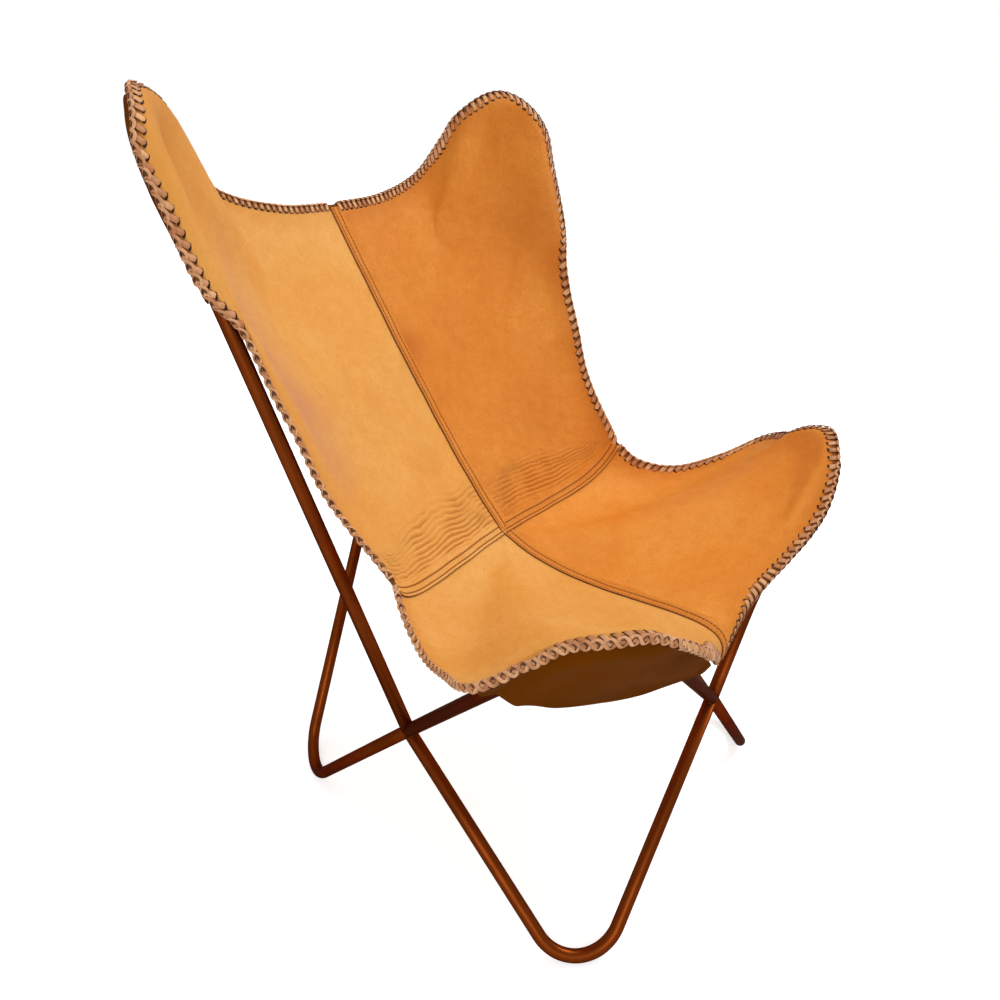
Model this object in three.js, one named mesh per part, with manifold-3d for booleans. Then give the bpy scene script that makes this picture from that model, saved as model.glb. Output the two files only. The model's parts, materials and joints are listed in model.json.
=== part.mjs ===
import * as THREE from 'three';
import Module from 'manifold-3d';
import { mergeVertices } from 'three/addons/utils/BufferGeometryUtils.js';

// Butterfly sling chair: four ear bows and four floor bows of bent tube meet at four
// crossings, and a sling of four leather panels hangs by its pockets from the ear bows.
// Millimetres, +Z up, the sitter faces -Y, and the left half is the one with negative X.

// Tube
const tubeDiameter = 16.5;
const tubeWall = 1.8;
const footBendRadius = 56;
const earBendRadius = 57;
const bendSteps = 9;
const tubeSides = 14;
const boreSides = 10;
const footFlat = 0.5;

// Crossings of the tube axes
const sideJointHalfWidth = 269;
const sideJointForward = 22;
const sideJointHeight = 229;
const frontJointForward = 300;
const frontJointHeight = 247;
const backJointBehind = 280;
const backJointHeight = 362;

// Places where the straight legs of each bow would meet beyond its bend; those of the ears are
// set from the back's and the front's edges of the sling
const frontFootHalfWidth = 275;
const frontFootForward = 300;
const backFootHalfWidth = 219;
const backFootBehind = 227;
const backEarHalfWidth = 376;
const backEarAhead = 17;
const backEarRise = 297;
const frontEarHalfWidth = 367;
const frontEarBehind = 17;
const frontEarRise = 47;

// Slight second bend of the front ear bow's lower leg: its share of the way up from the front
// crossing, and how far it lies behind and above the straight line
const kneeShare = 0.3;
const kneeBack = 11;
const kneeRise = 4;

// Solid cross inside each crossing
const jointGap = 0.3;
const crossArmLength = 34;
const crossArmClearance = 0.3;

// Leather
const panelThickness = 3;
const pocketThickness = 2.4;
const strapThickness = 1.6;
const strapWidth = 11;
const laceThickness = 1.6;
const laceReach = 11;
const laceGap = 1.3;
const leatherGap = 0.3;
const tubeGap = 0.3;
const drapeSag = 3.3;
const lacedDrapeSag = 2;
const drapeReach = 40;
const earMargin = 21;
const mouthInset = 32;
const backPocketSag = 6;
const frontPocketSag = 25;
const sagLean = 0.8;

// Edges of the sling
const backRimHalfWidth = 365;
const backTopBehind = 347;
const backTopHeight = 774;
const valleyHalfWidth = 272;
const valleyHeight = 433;
const seatCrossBehind = 32;
const seatCrossHeight = 375;
const frontRimHalfWidth = 397;
const frontRimForward = 343;
const frontRimHeight = 521;
const frontTipForward = 297;
const frontTipHeight = 298;

// Sampling: lines around a panel and rows towards the seat centre. Edge rows are multiples of
// the lacing's reach, the other rows shares of what is left.
const aroundSteps = 30;
const edgeRowShares = [0, 1, 2.1, 3.6];
const seatRowShares = [0.07, 0.16, 0.29, 0.45, 0.64, 0.82, 1];
const probeShare = 0.004;
const pocketRowShares = [0.2, 0.4, 0.6, 0.8, 1];
const searchPasses = 14;

const tubeRadius = tubeDiameter / 2;
const boreRadius = tubeRadius - tubeWall;
const armRadius = boreRadius * Math.cos(Math.PI / boreSides) - crossArmClearance;
const drapeClear = tubeRadius + panelThickness / 2 + tubeGap + drapeSag;

const point = (x, y, z) => new THREE.Vector3(x, y, z);
const onRight = (p) => point(-p.x, p.y, p.z);
const towards = (a, b) => b.clone().sub(a).normalize();
const along = (p, direction, length) => p.clone().addScaledVector(direction, length);

// A closed body from rings of points, each ring running counter-clockwise seen against
// the direction of travel, with its two ends closed by flat faces; the strip that starts at
// point number crossed is split along its other diagonal
function loftBody(rings, capShape, crossed = -1) {
  const count = rings[0].length;
  const positions = [];
  const faces = [];
  for (const ring of rings) {
    for (const p of ring) positions.push(p.x, p.y, p.z);
  }
  for (let i = 0; i + 1 < rings.length; i++) {
    for (let j = 0; j < count; j++) {
      const a = i * count + j;
      const b = i * count + (j + 1) % count;
      if (j === crossed) faces.push(a, b, a + count, b, b + count, a + count);
      else faces.push(a, b, b + count, a, b + count, a + count);
    }
  }
  const last = (rings.length - 1) * count;
  const turned = THREE.ShapeUtils.isClockWise(capShape);
  for (const [a, b, c] of THREE.ShapeUtils.triangulateShape(capShape, [])) {
    const [second, third] = turned ? [c, b] : [b, c];
    faces.push(a, third, second, last + a, last + second, last + third);
  }
  return meshData(positions, faces);
}

function meshData(positions, faces) {
  const geometry = new THREE.BufferGeometry();
  geometry.setAttribute('position', new THREE.Float32BufferAttribute(positions, 3));
  geometry.setIndex(faces);
  return geometry;
}

function mirrored(geometry) {
  const copy = geometry.clone();
  copy.scale(-1, 1, 1);
  const index = copy.getIndex();
  for (let i = 0; i < index.count; i += 3) {
    const second = index.getX(i + 1);
    index.setX(i + 1, index.getX(i + 2));
    index.setX(i + 2, second);
  }
  return copy;
}

// Booleans
const manifold = await Module();
manifold.setup();

function toSolid(geometry) {
  const bare = geometry.clone();
  bare.deleteAttribute('normal');
  bare.deleteAttribute('uv');
  const merged = mergeVertices(bare);
  return new manifold.Manifold(new manifold.Mesh({
    numProp: 3,
    vertProperties: new Float32Array(merged.getAttribute('position').array),
    triVerts: new Uint32Array(merged.getIndex().array),
  }));
}

function toGeometry(solid) {
  const mesh = solid.getMesh();
  const geometry = new THREE.BufferGeometry();
  geometry.setAttribute('position', new THREE.BufferAttribute(mesh.vertProperties, 3));
  geometry.setIndex(new THREE.BufferAttribute(mesh.triVerts, 1));
  return geometry;
}

// Path of a bow: the points of one leg from its end, a bend of the given radius near the
// corner, and the points of the other leg to its end
function bowPath(startLeg, corner, endLeg, bendRadius) {
  const legA = towards(corner, startLeg.at(-1));
  const legB = towards(corner, endLeg[0]);
  const half = legA.angleTo(legB) / 2;
  const inward = legA.clone().add(legB).normalize();
  const centre = along(corner, inward, bendRadius / Math.sin(half));
  const normal = legA.clone().cross(legB).normalize();
  const outward = inward.clone().negate();
  const sweep = Math.PI / 2 - half;
  const bend = [];
  for (let i = 0; i <= bendSteps; i++) {
    const angle = sweep * (1 - 2 * i / bendSteps);
    bend.push(along(centre, outward.clone().applyAxisAngle(normal, angle), bendRadius));
  }
  return { points: [...startLeg, ...bend, ...endLeg], centre, outward, normal, sweep };
}

// Round rod along a path that is flat or nearly so, its ends square to their legs
function rodAlong(path, radius, sides = tubeSides) {
  const { points, normal } = path;
  const shape = [];
  for (let j = 0; j < sides; j++) {
    const angle = 2 * Math.PI * j / sides;
    shape.push(new THREE.Vector2(Math.cos(angle), Math.sin(angle)));
  }
  const rings = points.map((p, i) => {
    const before = points[Math.max(i - 1, 0)];
    const after = points[Math.min(i + 1, points.length - 1)];
    const tangentIn = i > 0 ? towards(before, p) : towards(p, after);
    const tangentOut = i + 1 < points.length ? towards(p, after) : tangentIn;
    const tangent = tangentIn.clone().add(tangentOut).normalize();
    const lift = normal.clone().projectOnPlane(tangent).normalize();
    const side = lift.clone().cross(tangent);
    const stretch = 1 / tangentIn.dot(tangent);
    return shape.map((s) => along(along(p, side, s.x * radius * stretch), lift, s.y * radius));
  });
  return toSolid(loftBody(rings, shape));
}

const straightPath = (a, b) => {
  const axis = towards(a, b);
  const helper = Math.abs(axis.z) < Math.SQRT1_2 ? point(0, 0, 1) : point(1, 0, 0);
  return { points: [a, b], normal: helper.cross(axis).normalize() };
};

// Frame points, left half
const sideJoint = point(-sideJointHalfWidth, -sideJointForward, sideJointHeight);
const frontJoint = point(0, -frontJointForward, frontJointHeight);
const backJoint = point(0, backJointBehind, backJointHeight);
const backEar = point(
  -backEarHalfWidth, backTopBehind - backEarAhead, backTopHeight + backEarRise);
const frontEar = point(
  -frontEarHalfWidth, frontEarBehind - frontRimForward, frontRimHeight + frontEarRise);
const frontKnee = frontJoint.clone().lerp(frontEar, kneeShare).add(point(0, kneeBack, kneeRise));

// Corner of a floor bow: as far below the floor as puts the bend's underside on it
function footCorner(halfWidth, y, startA, startB) {
  let depth = 0;
  for (let pass = 0; pass < searchPasses; pass++) {
    const path = bowPath([startA], point(-halfWidth, y, depth), [startB], footBendRadius);
    const lowest = Math.min(...path.points.map((p) => p.z));
    depth -= lowest - tubeRadius + footFlat;
  }
  return point(-halfWidth, y, depth);
}
const frontFoot = footCorner(frontFootHalfWidth, -frontFootForward, sideJoint, frontJoint);
const backFoot = footCorner(backFootHalfWidth, backFootBehind, backJoint, sideJoint);

// At each crossing one pair of tubes meets end to end and the other pair is coped to it
const bows = {
  ear_bow_back_left: [[sideJoint], backEar, [backJoint], earBendRadius],
  ear_bow_front_left: [[frontJoint, frontKnee], frontEar, [sideJoint], earBendRadius],
  floor_bow_front_left: [[sideJoint], frontFoot, [frontJoint], footBendRadius],
  floor_bow_back_left: [[backJoint], backFoot, [sideJoint], footBendRadius],
};
for (const name of Object.keys(bows)) {
  const [startLeg, corner, endLeg, radius] = bows[name];
  const [start, end] = [endLeg, startLeg].map((leg) => leg.map(onRight).reverse());
  bows[name.replace('left', 'right')] = [start, onRight(corner), end, radius];
}
const joints = {
  side_left: {
    at: sideJoint,
    butted: ['ear_bow_front_left', 'floor_bow_back_left'],
    coped: ['ear_bow_back_left', 'floor_bow_front_left'],
  },
  side_right: {
    at: onRight(sideJoint),
    butted: ['ear_bow_front_right', 'floor_bow_back_right'],
    coped: ['ear_bow_back_right', 'floor_bow_front_right'],
  },
  front: {
    at: frontJoint,
    butted: ['ear_bow_front_left', 'floor_bow_front_right'],
    coped: ['ear_bow_front_right', 'floor_bow_front_left'],
  },
  back: {
    at: backJoint,
    butted: ['ear_bow_back_left', 'floor_bow_back_right'],
    coped: ['ear_bow_back_right', 'floor_bow_back_left'],
  },
};

// Way that a bow leaves a crossing
function armDirection(bowName, at) {
  const [startLeg, corner, endLeg] = bows[bowName];
  const legs = [[...startLeg, corner], [...[...endLeg].reverse(), corner]];
  const leg = legs.find(([end]) => end.distanceTo(at) < jointGap);
  return towards(leg[0], leg[1]);
}

function straightRod(at, direction, from, to, radius, sides = tubeSides) {
  return rodAlong(straightPath(along(at, direction, from), along(at, direction, to)), radius, sides);
}

// Square end cut of a butted tube: back from the crossing by half the gap, and by what the
// slight angle between the two tubes takes
function buttSetback(joint) {
  const [first, second] = joint.butted.map((name) => armDirection(name, joint.at));
  const bendAngle = Math.PI - first.angleTo(second);
  return jointGap / 2 + tubeRadius * Math.tan(bendAngle / 2);
}

function bowSolid(name) {
  const [startLeg, corner, endLeg, radius] = bows[name];
  const path = bowPath(startLeg, corner, endLeg, radius);
  let solid = rodAlong(path, tubeRadius);
  solid = solid.subtract(rodAlong(overrun(path), boreRadius, boreSides));
  for (const joint of Object.values(joints)) {
    if (joint.butted.includes(name)) {
      const arm = armDirection(name, joint.at);
      const setback = buttSetback(joint);
      solid = solid.subtract(straightRod(joint.at, arm, -tubeDiameter, setback, tubeDiameter));
      for (const other of joint.coped) {
        const way = armDirection(other, joint.at);
        solid = solid.subtract(
          straightRod(joint.at, way, 0, crossArmLength, armRadius + jointGap, boreSides));
      }
    }
    if (joint.coped.includes(name)) {
      for (const other of joint.butted) {
        const way = armDirection(other, joint.at);
        solid = solid.subtract(
          straightRod(joint.at, way, -tubeRadius, crossArmLength * 2, tubeRadius + jointGap));
      }
    }
  }
  return name.startsWith('floor') ? flattenFoot(solid, corner) : solid;
}

function overrun(path) {
  const points = path.points.slice();
  const last = points.length - 1;
  points[0] = along(points[0], towards(points[1], points[0]), jointGap);
  points[last] = along(points[last], towards(points[last - 1], points[last]), jointGap);
  return { ...path, points };
}

// Worn flat under a foot, on the floor plane
function flattenFoot(solid, corner) {
  const reach = footBendRadius * 2;
  const slab = new THREE.BoxGeometry(reach, reach, tubeDiameter);
  slab.translate(corner.x, corner.y, -tubeRadius);
  return solid.subtract(toSolid(slab));
}

function crossSolid(joint) {
  const ball = new THREE.SphereGeometry(armRadius, boreSides, bendSteps);
  ball.translate(joint.at.x, joint.at.y, joint.at.z);
  let solid = toSolid(ball);
  for (const name of [...joint.butted, ...joint.coped]) {
    const way = armDirection(name, joint.at);
    solid = solid.add(straightRod(joint.at, way, 0, crossArmLength, armRadius, boreSides));
  }
  return solid;
}

// Sling surface. Each panel is a fan of cubic curves from its rim to the centre of the seat.
// Places are shares of half width, of depth behind or in front, and of height between two levels.
function placed(shares, halfWidth, depth, low, high) {
  return shares.map(([x, y, z]) => point(-x * halfWidth, y * depth, low + z * (high - low)));
}

// Points of an ear's rim, the given shares of the bend's sweep away from its tip
function earRim(path, bendRadius, sweepShares) {
  return sweepShares.map((share) => {
    const way = path.outward.clone().applyAxisAngle(path.normal, share * path.sweep);
    return along(path.centre, way, bendRadius + earMargin);
  });
}

const backBow = bowPath([sideJoint], backEar, [backJoint], earBendRadius);
const frontBow = bowPath([sideJoint], frontEar, [frontKnee, frontJoint], earBendRadius);
const seatCross = point(0, seatCrossBehind, seatCrossHeight);
const valley = point(-valleyHalfWidth, 0, valleyHeight);
const backTop = point(0, backTopBehind, backTopHeight);
const frontTip = point(0, -frontTipForward, frontTipHeight);

const earSweepShares = [0.8, 0, -0.8];
const backSideShares = [
  [0.803, 0.216, 0.246],
  [0.838, 0.323, 0.472],
  [0.885, 0.436, 0.689],
  [0.945, 0.522, 0.915],
  [0.98, 0.628, 1.14],
];
const backTopShares = [
  [0.647, 0.986, 1.229],
  [0.51, 1.009, 1.085],
  [0.26, 0.994, 1.015],
];
const frontSideShares = [
  [0.73, -0.093, -0.318],
  [0.811, -0.242, -0.398],
  [0.907, -0.408, -0.125],
  [1, -0.569, 0.307],
];
const frontEdgeShares = [
  [0.509, -1, 0.25],
  [0.345, -0.956, -0.307],
  [0.164, -0.889, -0.852],
];
const backRim = [
  valley,
  ...placed(backSideShares, backRimHalfWidth, backTopBehind, valleyHeight, backTopHeight),
  ...earRim(backBow, earBendRadius, earSweepShares),
  ...placed(backTopShares, backRimHalfWidth, backTopBehind, valleyHeight, backTopHeight),
  backTop,
];
const frontRim = [
  valley,
  ...placed(frontSideShares, frontRimHalfWidth, frontRimForward, valleyHeight, frontRimHeight),
  ...earRim(frontBow, earBendRadius, earSweepShares),
  ...placed(frontEdgeShares, frontRimHalfWidth, frontRimForward, valleyHeight, frontRimHeight),
  frontTip,
];

// Guide rows a third and two thirds of the way from the rim to the seat centre; their first
// points lie on the side seam and their last on the centre seam
const sideSeamShares = [
  [0.864, 0.063, -0.229],
  [0.404, 0.086, -0.155],
];
const backGuideShares = [
  [[0.575, 0.64, 0.554], [0.778, 0.764, 0.724], [0.562, 0.807, 0.666], [0, 0.72, 0.607]],
  [[0.342, 0.231, -0.009], [0.342, 0.432, 0.226], [0.192, 0.476, 0.255], [0, 0.36, 0.094]],
];
const frontGuideShares = [
  [[0.68, -0.292, -1], [0.63, -0.554, -0.375], [0.416, -0.787, -0.432], [0, -0.977, -0.318]],
  [[0.302, -0.058, -0.943], [0.264, -0.204, -1.114], [0.176, -0.315, -1.341], [0, -0.306, -1.545]],
];
const guideRows = (guideShares, halfWidth, depth, high) => guideShares.map((row, i) => [
  ...placed([sideSeamShares[i]], valleyHalfWidth, backTopBehind, valleyHeight, backTopHeight),
  ...placed(row, halfWidth, depth, valleyHeight, high),
]);
const panels = {
  back: {
    rim: backRim,
    guides: guideRows(backGuideShares, backRimHalfWidth, backTopBehind, backTopHeight),
    bow: backBow,
    facing: -1,
    pocketSag: backPocketSag,
    pocketSteps: [10, 23],
  },
  front: {
    rim: frontRim,
    guides: guideRows(frontGuideShares, frontRimHalfWidth, frontRimForward, frontRimHeight),
    bow: frontBow,
    facing: 1,
    pocketSag: frontPocketSag,
    pocketSteps: [11, 24],
  },
};
for (const panel of Object.values(panels)) {
  const curves = [panel.rim, ...panel.guides].map(
    (row) => new THREE.CatmullRomCurve3(row, false, 'catmullrom', 0.5));
  panel.bare = (around, inward) => {
    const rest = 1 - inward;
    const weights = [rest ** 3, 3 * rest ** 2 * inward, 3 * rest * inward ** 2];
    const p = seatCross.clone().multiplyScalar(inward ** 3);
    curves.forEach((curve, i) => p.addScaledVector(curve.getPoint(around), weights[i]));
    return p;
  };
  const toSitter = panel.bow.normal.clone();
  if (toSitter.z < 0) toSitter.negate();
  panel.toSitter = toSitter;
}

// Lift of the leather over a bow's tube at a place: the height at which it lies on the tube, and
// how strongly it is held there. Outside the bow it runs down straight to the ear's rim.
function overBow(p, panel, around) {
  const clear = drapeClear + lacedDrapeSag * (1 - pocketed(panel, around));
  const { points } = panel.bow;
  const { toSitter } = panel;
  let best = null;
  for (let i = 0; i + 1 < points.length; i++) {
    const leg = points[i + 1].clone().sub(points[i]);
    const t = THREE.MathUtils.clamp(p.clone().sub(points[i]).dot(leg) / leg.lengthSq(), 0, 1);
    const nearest = along(points[i], leg, t);
    const away = p.clone().sub(nearest);
    if (!best || away.lengthSq() < best.away.lengthSq()) best = { away, leg };
  }
  const height = best.away.dot(toSitter);
  const flat = best.away.clone().addScaledVector(toSitter, -height);
  const inside = flat.dot(best.leg.clone().cross(panel.bow.normal)) > 0;
  const aside = flat.length();
  if (inside) return { height, crest: clear, hold: Math.exp(-((aside / drapeReach) ** 2)), inside };
  const touch = clear ** 2 / earMargin;
  const slope = clear / Math.sqrt(earMargin ** 2 - clear ** 2);
  const crest = aside < touch
    ? Math.sqrt(clear ** 2 - aside ** 2) : Math.max(0, earMargin - aside) * slope;
  const hold = THREE.MathUtils.clamp(2 - aside / earMargin, 0, 1);
  return { height, crest, hold, inside };
}

// Middle of a panel's leather, lifted where it goes over the tube
function panelPoint(panel, around, inward) {
  const p = panel.bare(around, inward);
  const { height, crest, hold } = overBow(p, panel, around);
  return along(p, panel.toSitter, hold * Math.max(0, crest - height));
}

// Whether a place on the rim lies at the pocket, with a short run to full at either end
function pocketed(panel, around) {
  const [from, to] = panel.pocketSteps;
  const step = around * aroundSteps;
  return THREE.MathUtils.clamp(Math.min(step - from, to - step) + 1, 0, 1);
}

// Middle of a pocket's leather: close under the panel, sagging towards its mouth, most on its
// outer half, and behind the tube
function pocketPoint(panel, around, inward) {
  const [from, to] = panel.pocketSteps;
  const under = (panelThickness + pocketThickness) / 2 + leatherGap;
  const normal = normalAt(panel.bare, around, inward, panel.facing);
  const across = Math.max(0, (around * aroundSteps - from) / (to - from));
  const aside = Math.sin(Math.PI * across ** sagLean);
  const down = Math.sin(Math.PI / 2 * Math.min(inward / pocketMouth(panel, around), 1));
  const p = along(panel.bare(around, inward), normal, -under);
  const { height, crest, hold, inside } = overBow(p, panel, around);
  const push = (inside ? 1 : hold) * Math.max(0, crest + height);
  const loose = inside ? 1 - hold : 0;
  const behind = along(p, panel.toSitter, -push);
  behind.z -= panel.pocketSag * aside * down * loose;
  return behind;
}

// Share of the way to the pocket's mouth, which runs straight across the ear between the ends
// of the pocket's rim, a little inside of them
function pocketMouth(panel, around) {
  const [start, end] = panel.pocketSteps.map((step) => panel.bare(step / aroundSteps, 0));
  const across = end.clone().sub(start).cross(panel.toSitter).normalize();
  if (across.dot(seatCross.clone().sub(start)) < 0) across.negate();
  let [near, far] = [0, 1];
  for (let pass = 0; pass < searchPasses; pass++) {
    const middle = (near + far) / 2;
    if (panel.bare(around, middle).sub(start).dot(across) < mouthInset) near = middle;
    else far = middle;
  }
  return near;
}

// Share of the way from rim to seat centre that lies a set distance from the rim
function shareForReach(panel, around, reach) {
  const a0 = Math.max(around - probeShare, 0);
  const a1 = Math.min(around + probeShare, 1);
  const rim = towards(panel.bare(a0, 0), panel.bare(a1, 0));
  const down = panel.bare(around, probeShare).sub(panel.bare(around, 0));
  return reach * probeShare / down.cross(rim).length();
}

// Rows of a panel on one line: the first ones set distances from the rim, the others shares of
// the rest of the way
function panelRows(panel, around) {
  const edge = edgeRowShares.map((share) => shareForReach(panel, around, share * laceReach));
  const last = edge.at(-1);
  return [...edge, ...seatRowShares.map((share) => last + (1 - last) * share)];
}

function normalAt(surface, around, inward, facing) {
  const middle = THREE.MathUtils.clamp(inward, probeShare, 1 - 4 * probeShare);
  const a0 = Math.max(around - probeShare, 0);
  const a1 = Math.min(around + probeShare, 1);
  const across = surface(a1, middle).sub(surface(a0, middle));
  const down = surface(around, middle + probeShare).sub(surface(around, middle - probeShare));
  return across.cross(down).normalize().multiplyScalar(facing);
}

// A seam: its points, the normal shared by both sides, and the way into the left panel
function seamLine(panel, around, other) {
  const surface = (a, i) => panelPoint(panel, a, i);
  const rows = panelRows(panel, around).map((inward) => {
    const normal = normalAt(surface, around, inward, panel.facing);
    if (other) normal.add(normalAt((a, i) => panelPoint(other, a, i), around, inward, other.facing));
    else normal.setX(0);
    return { inward, p: surface(around, inward), normal: normal.normalize() };
  });
  rows.forEach((row, i) => {
    const tangent = towards(rows[Math.max(i - 1, 0)].p, rows[Math.min(i + 1, rows.length - 1)].p);
    row.conormal = tangent.cross(row.normal).normalize();
    if (intoPanel(panel, around, row).dot(row.conormal) < 0) row.conormal.negate();
  });
  return rows;
}

const seams = {
  side: seamLine(panels.back, 0, panels.front),
  back: seamLine(panels.back, 1, null),
  front: seamLine(panels.front, 1, null),
};
const seatNormal = seams.side.at(-1).normal.clone().add(seams.back.at(-1).normal);
seatNormal.add(seams.front.at(-1).normal).setX(0).normalize();
for (const seam of Object.values(seams)) seam.at(-1).normal.copy(seatNormal);

// From a seam's point to the panel's next line
function intoPanel(panel, around, row) {
  const next = around < 0.5 ? 1 / aroundSteps : 1 - 1 / aroundSteps;
  return panelPoint(panel, next, Math.min(row.inward, 1 - 1 / aroundSteps)).sub(row.p);
}

// Rows of points and normals of one panel's leather, held back from its seams by half a gap
function panelGrid(panel, centreSeam) {
  const surface = (a, b) => panelPoint(panel, a, b);
  const grid = [];
  const aside = centreSeam.at(-2).conormal.clone().add(towards(seatCross, centreSeam.at(-2).p));
  const tip = { p: along(seatCross, aside, leatherGap / 2), normal: seatNormal };
  for (let i = 0; i <= aroundSteps; i++) {
    const around = i / aroundSteps;
    const seam = { 0: seams.side, [aroundSteps]: centreSeam }[i];
    const line = panelRows(panel, around).slice(0, -1).map((inward, j) => {
      if (!seam) {
        return { p: surface(around, inward), normal: normalAt(surface, around, inward, panel.facing) };
      }
      const { p, normal, conormal } = seam[j];
      const back = intoPanel(panel, around, seam[j]).dot(conormal) < 0;
      return { p: along(p, conormal, (back ? -1 : 1) * leatherGap / 2), normal };
    });
    grid.push([...line, tip]);
  }
  return grid;
}

// Leather of even thickness over a grid of middle points and normals; a last row whose
// points all coincide closes to a point
function leatherBody(grid, thickness, facing) {
  const rows = grid.length;
  const columns = grid[0].length;
  const positions = [];
  for (const side of [1, -1]) {
    for (const line of grid) {
      for (const { p, normal } of line) positions.push(...along(p, normal, side * thickness / 2));
    }
  }
  const at = (i, j, under) => (under ? rows * columns : 0) + i * columns + j;
  const faces = [];
  const quad = (a, b, c, d) => {
    if (facing > 0) faces.push(a, b, c, a, c, d);
    else faces.push(a, c, b, a, d, c);
  };
  for (let i = 0; i + 1 < rows; i++) {
    for (let j = 0; j + 1 < columns; j++) {
      quad(at(i, j), at(i + 1, j), at(i + 1, j + 1), at(i, j + 1));
      quad(at(i, j, 1), at(i, j + 1, 1), at(i + 1, j + 1, 1), at(i + 1, j, 1));
    }
    quad(at(i, 0, 1), at(i + 1, 0, 1), at(i + 1, 0), at(i, 0));
    quad(at(i, columns - 1), at(i + 1, columns - 1), at(i + 1, columns - 1, 1), at(i, columns - 1, 1));
  }
  for (let j = 0; j + 1 < columns; j++) {
    quad(at(0, j), at(0, j + 1), at(0, j + 1, 1), at(0, j, 1));
    quad(at(rows - 1, j, 1), at(rows - 1, j + 1, 1), at(rows - 1, j + 1), at(rows - 1, j));
  }
  return withoutSlivers(meshData(positions, faces));
}

// Joins points that coincide and drops the triangles that this leaves without area
function withoutSlivers(geometry) {
  const merged = mergeVertices(geometry);
  const index = merged.getIndex().array;
  const kept = [];
  for (let i = 0; i < index.length; i += 3) {
    const [a, b, c] = [index[i], index[i + 1], index[i + 2]];
    if (a !== b && b !== c && c !== a) kept.push(a, b, c);
  }
  merged.setIndex(kept);
  return merged;
}

// Pocket: a second skin from the ear's rim to a curved mouth, open where the two legs leave
function pocketGrid(panel, grid) {
  const [from, to] = panel.pocketSteps;
  const surface = (a, i) => pocketPoint(panel, a, i);
  const under = (panelThickness + pocketThickness) / 2 + leatherGap;
  const lines = {};
  for (let step = from; step <= to; step++) {
    const around = step / aroundSteps;
    const [edge, behindTube] = [1, 2].map(
      (row) => shareForReach(panel, around, edgeRowShares[row] * laceReach));
    const rest = pocketMouth(panel, around) - behindTube;
    const rows = [edge, behindTube, ...pocketRowShares.map((share) => behindTube + rest * share)];
    const rim = grid[step][0];
    lines[step] = [
      { p: along(rim.p, rim.normal, -under), normal: rim.normal },
      ...rows.map((inward) => ({
        p: surface(around, inward),
        normal: normalAt(surface, around, inward, panel.facing),
      })),
    ];
  }
  return lines;
}

// Edge lacing: a channel that hugs the rim of a panel, and of its pocket at the ear
function laceBody(panel, grid, pocketLines) {
  const rings = [];
  for (let i = 0; i <= aroundSteps; i++) {
    const [rim, inner] = grid[i];
    const before = grid[Math.max(i - 1, 0)][0].p;
    const after = grid[Math.min(i + 1, aroundSteps)][0].p;
    const end = i === 0 || i === aroundSteps;
    const out = end ? towards(inner.p, rim.p)
      : towards(before, after).cross(rim.normal).normalize().multiplyScalar(panel.facing);
    const pocket = pocketLines[i];
    const [rimSkin, innerSkin] = pocket ?? grid[i];
    const below = (pocket ? pocketThickness : panelThickness) / 2 + laceGap;
    const above = panelThickness / 2 + laceGap;
    const rimTop = along(along(rim.p, rim.normal, above), out, laceGap);
    const rimUnder = along(along(rimSkin.p, rimSkin.normal, -below), out, laceGap);
    const innerTop = along(inner.p, inner.normal, above);
    const innerUnder = along(innerSkin.p, innerSkin.normal, -below);
    rings.push([
      along(innerTop, inner.normal, laceThickness),
      along(along(rimTop, rim.normal, laceThickness), out, laceThickness),
      along(along(rimUnder, rimSkin.normal, -laceThickness), out, laceThickness),
      along(innerUnder, innerSkin.normal, -laceThickness),
      innerUnder,
      rimUnder,
      rimTop,
      innerTop,
    ]);
  }
  const t = laceThickness;
  const capShape = [[0, t], [laceReach, t], [laceReach, -t], [0, -t], [0, -t / 2],
    [laceReach - t, -t / 2], [laceReach - t, t / 2], [0, t / 2]].map(([x, y]) => new THREE.Vector2(x, y));
  if (panel.facing > 0) return loftBody(rings, capShape, rings[0].length / 2);
  rings.forEach((ring) => ring.reverse());
  return loftBody(rings, capShape.reverse(), 0);
}

// Strap along a seam, its edges lying on the leather at either side
function strapBody(seam, leftLine, rightLine, stopShort) {
  const length = seam.map((row, i) => (i ? row.p.distanceTo(seam[i - 1].p) : 0));
  const places = [];
  let travelled = 0;
  const total = length.reduce((sum, part) => sum + part, 0);
  const start = length[1] + leatherGap + laceThickness;
  const stop = total - stopShort;
  for (let i = 0; i + 1 < seam.length; i++) {
    const ahead = travelled + length[i + 1];
    const share = (s) => [i, (s - travelled) / length[i + 1]];
    if (travelled <= start && start < ahead) places.push(share(start));
    else if (travelled > start && travelled < stop) places.push([i, 0]);
    if (travelled < stop && stop <= ahead) places.push(share(stop));
    travelled = ahead;
  }
  const between = (line, [i, t]) => line[i].clone().lerp(line[i + 1], t);
  const rise = panelThickness / 2 + 2 * leatherGap;
  const rings = places.map((place) => {
    const middle = between(seam.map((row) => row.p), place);
    const normal = between(seam.map((row) => row.normal), place).normalize();
    const ways = [leftLine, rightLine].map((line) => towards(middle, between(line, place)));
    const steepest = Math.min(...ways.map((way) => way.clone().cross(normal).length()));
    const [left, right] = ways.map((way) => along(middle, way, strapWidth / 2));
    const low = [left, middle, right].map((p) => along(p, normal, rise / steepest));
    const high = [right, middle, left].map((p) => along(p, normal, rise / steepest + strapThickness));
    return [...low, ...high];
  });
  const w = strapWidth / 2;
  const capShape = [[-w, 0], [0, 0], [w, 0], [w, strapThickness], [0, strapThickness],
    [-w, strapThickness]].map(([x, y]) => new THREE.Vector2(x, y));
  return loftBody(rings, capShape);
}

const lineAt = (panel, seam, around) => seam.map((row) => panelPoint(panel, around, row.inward));

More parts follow.
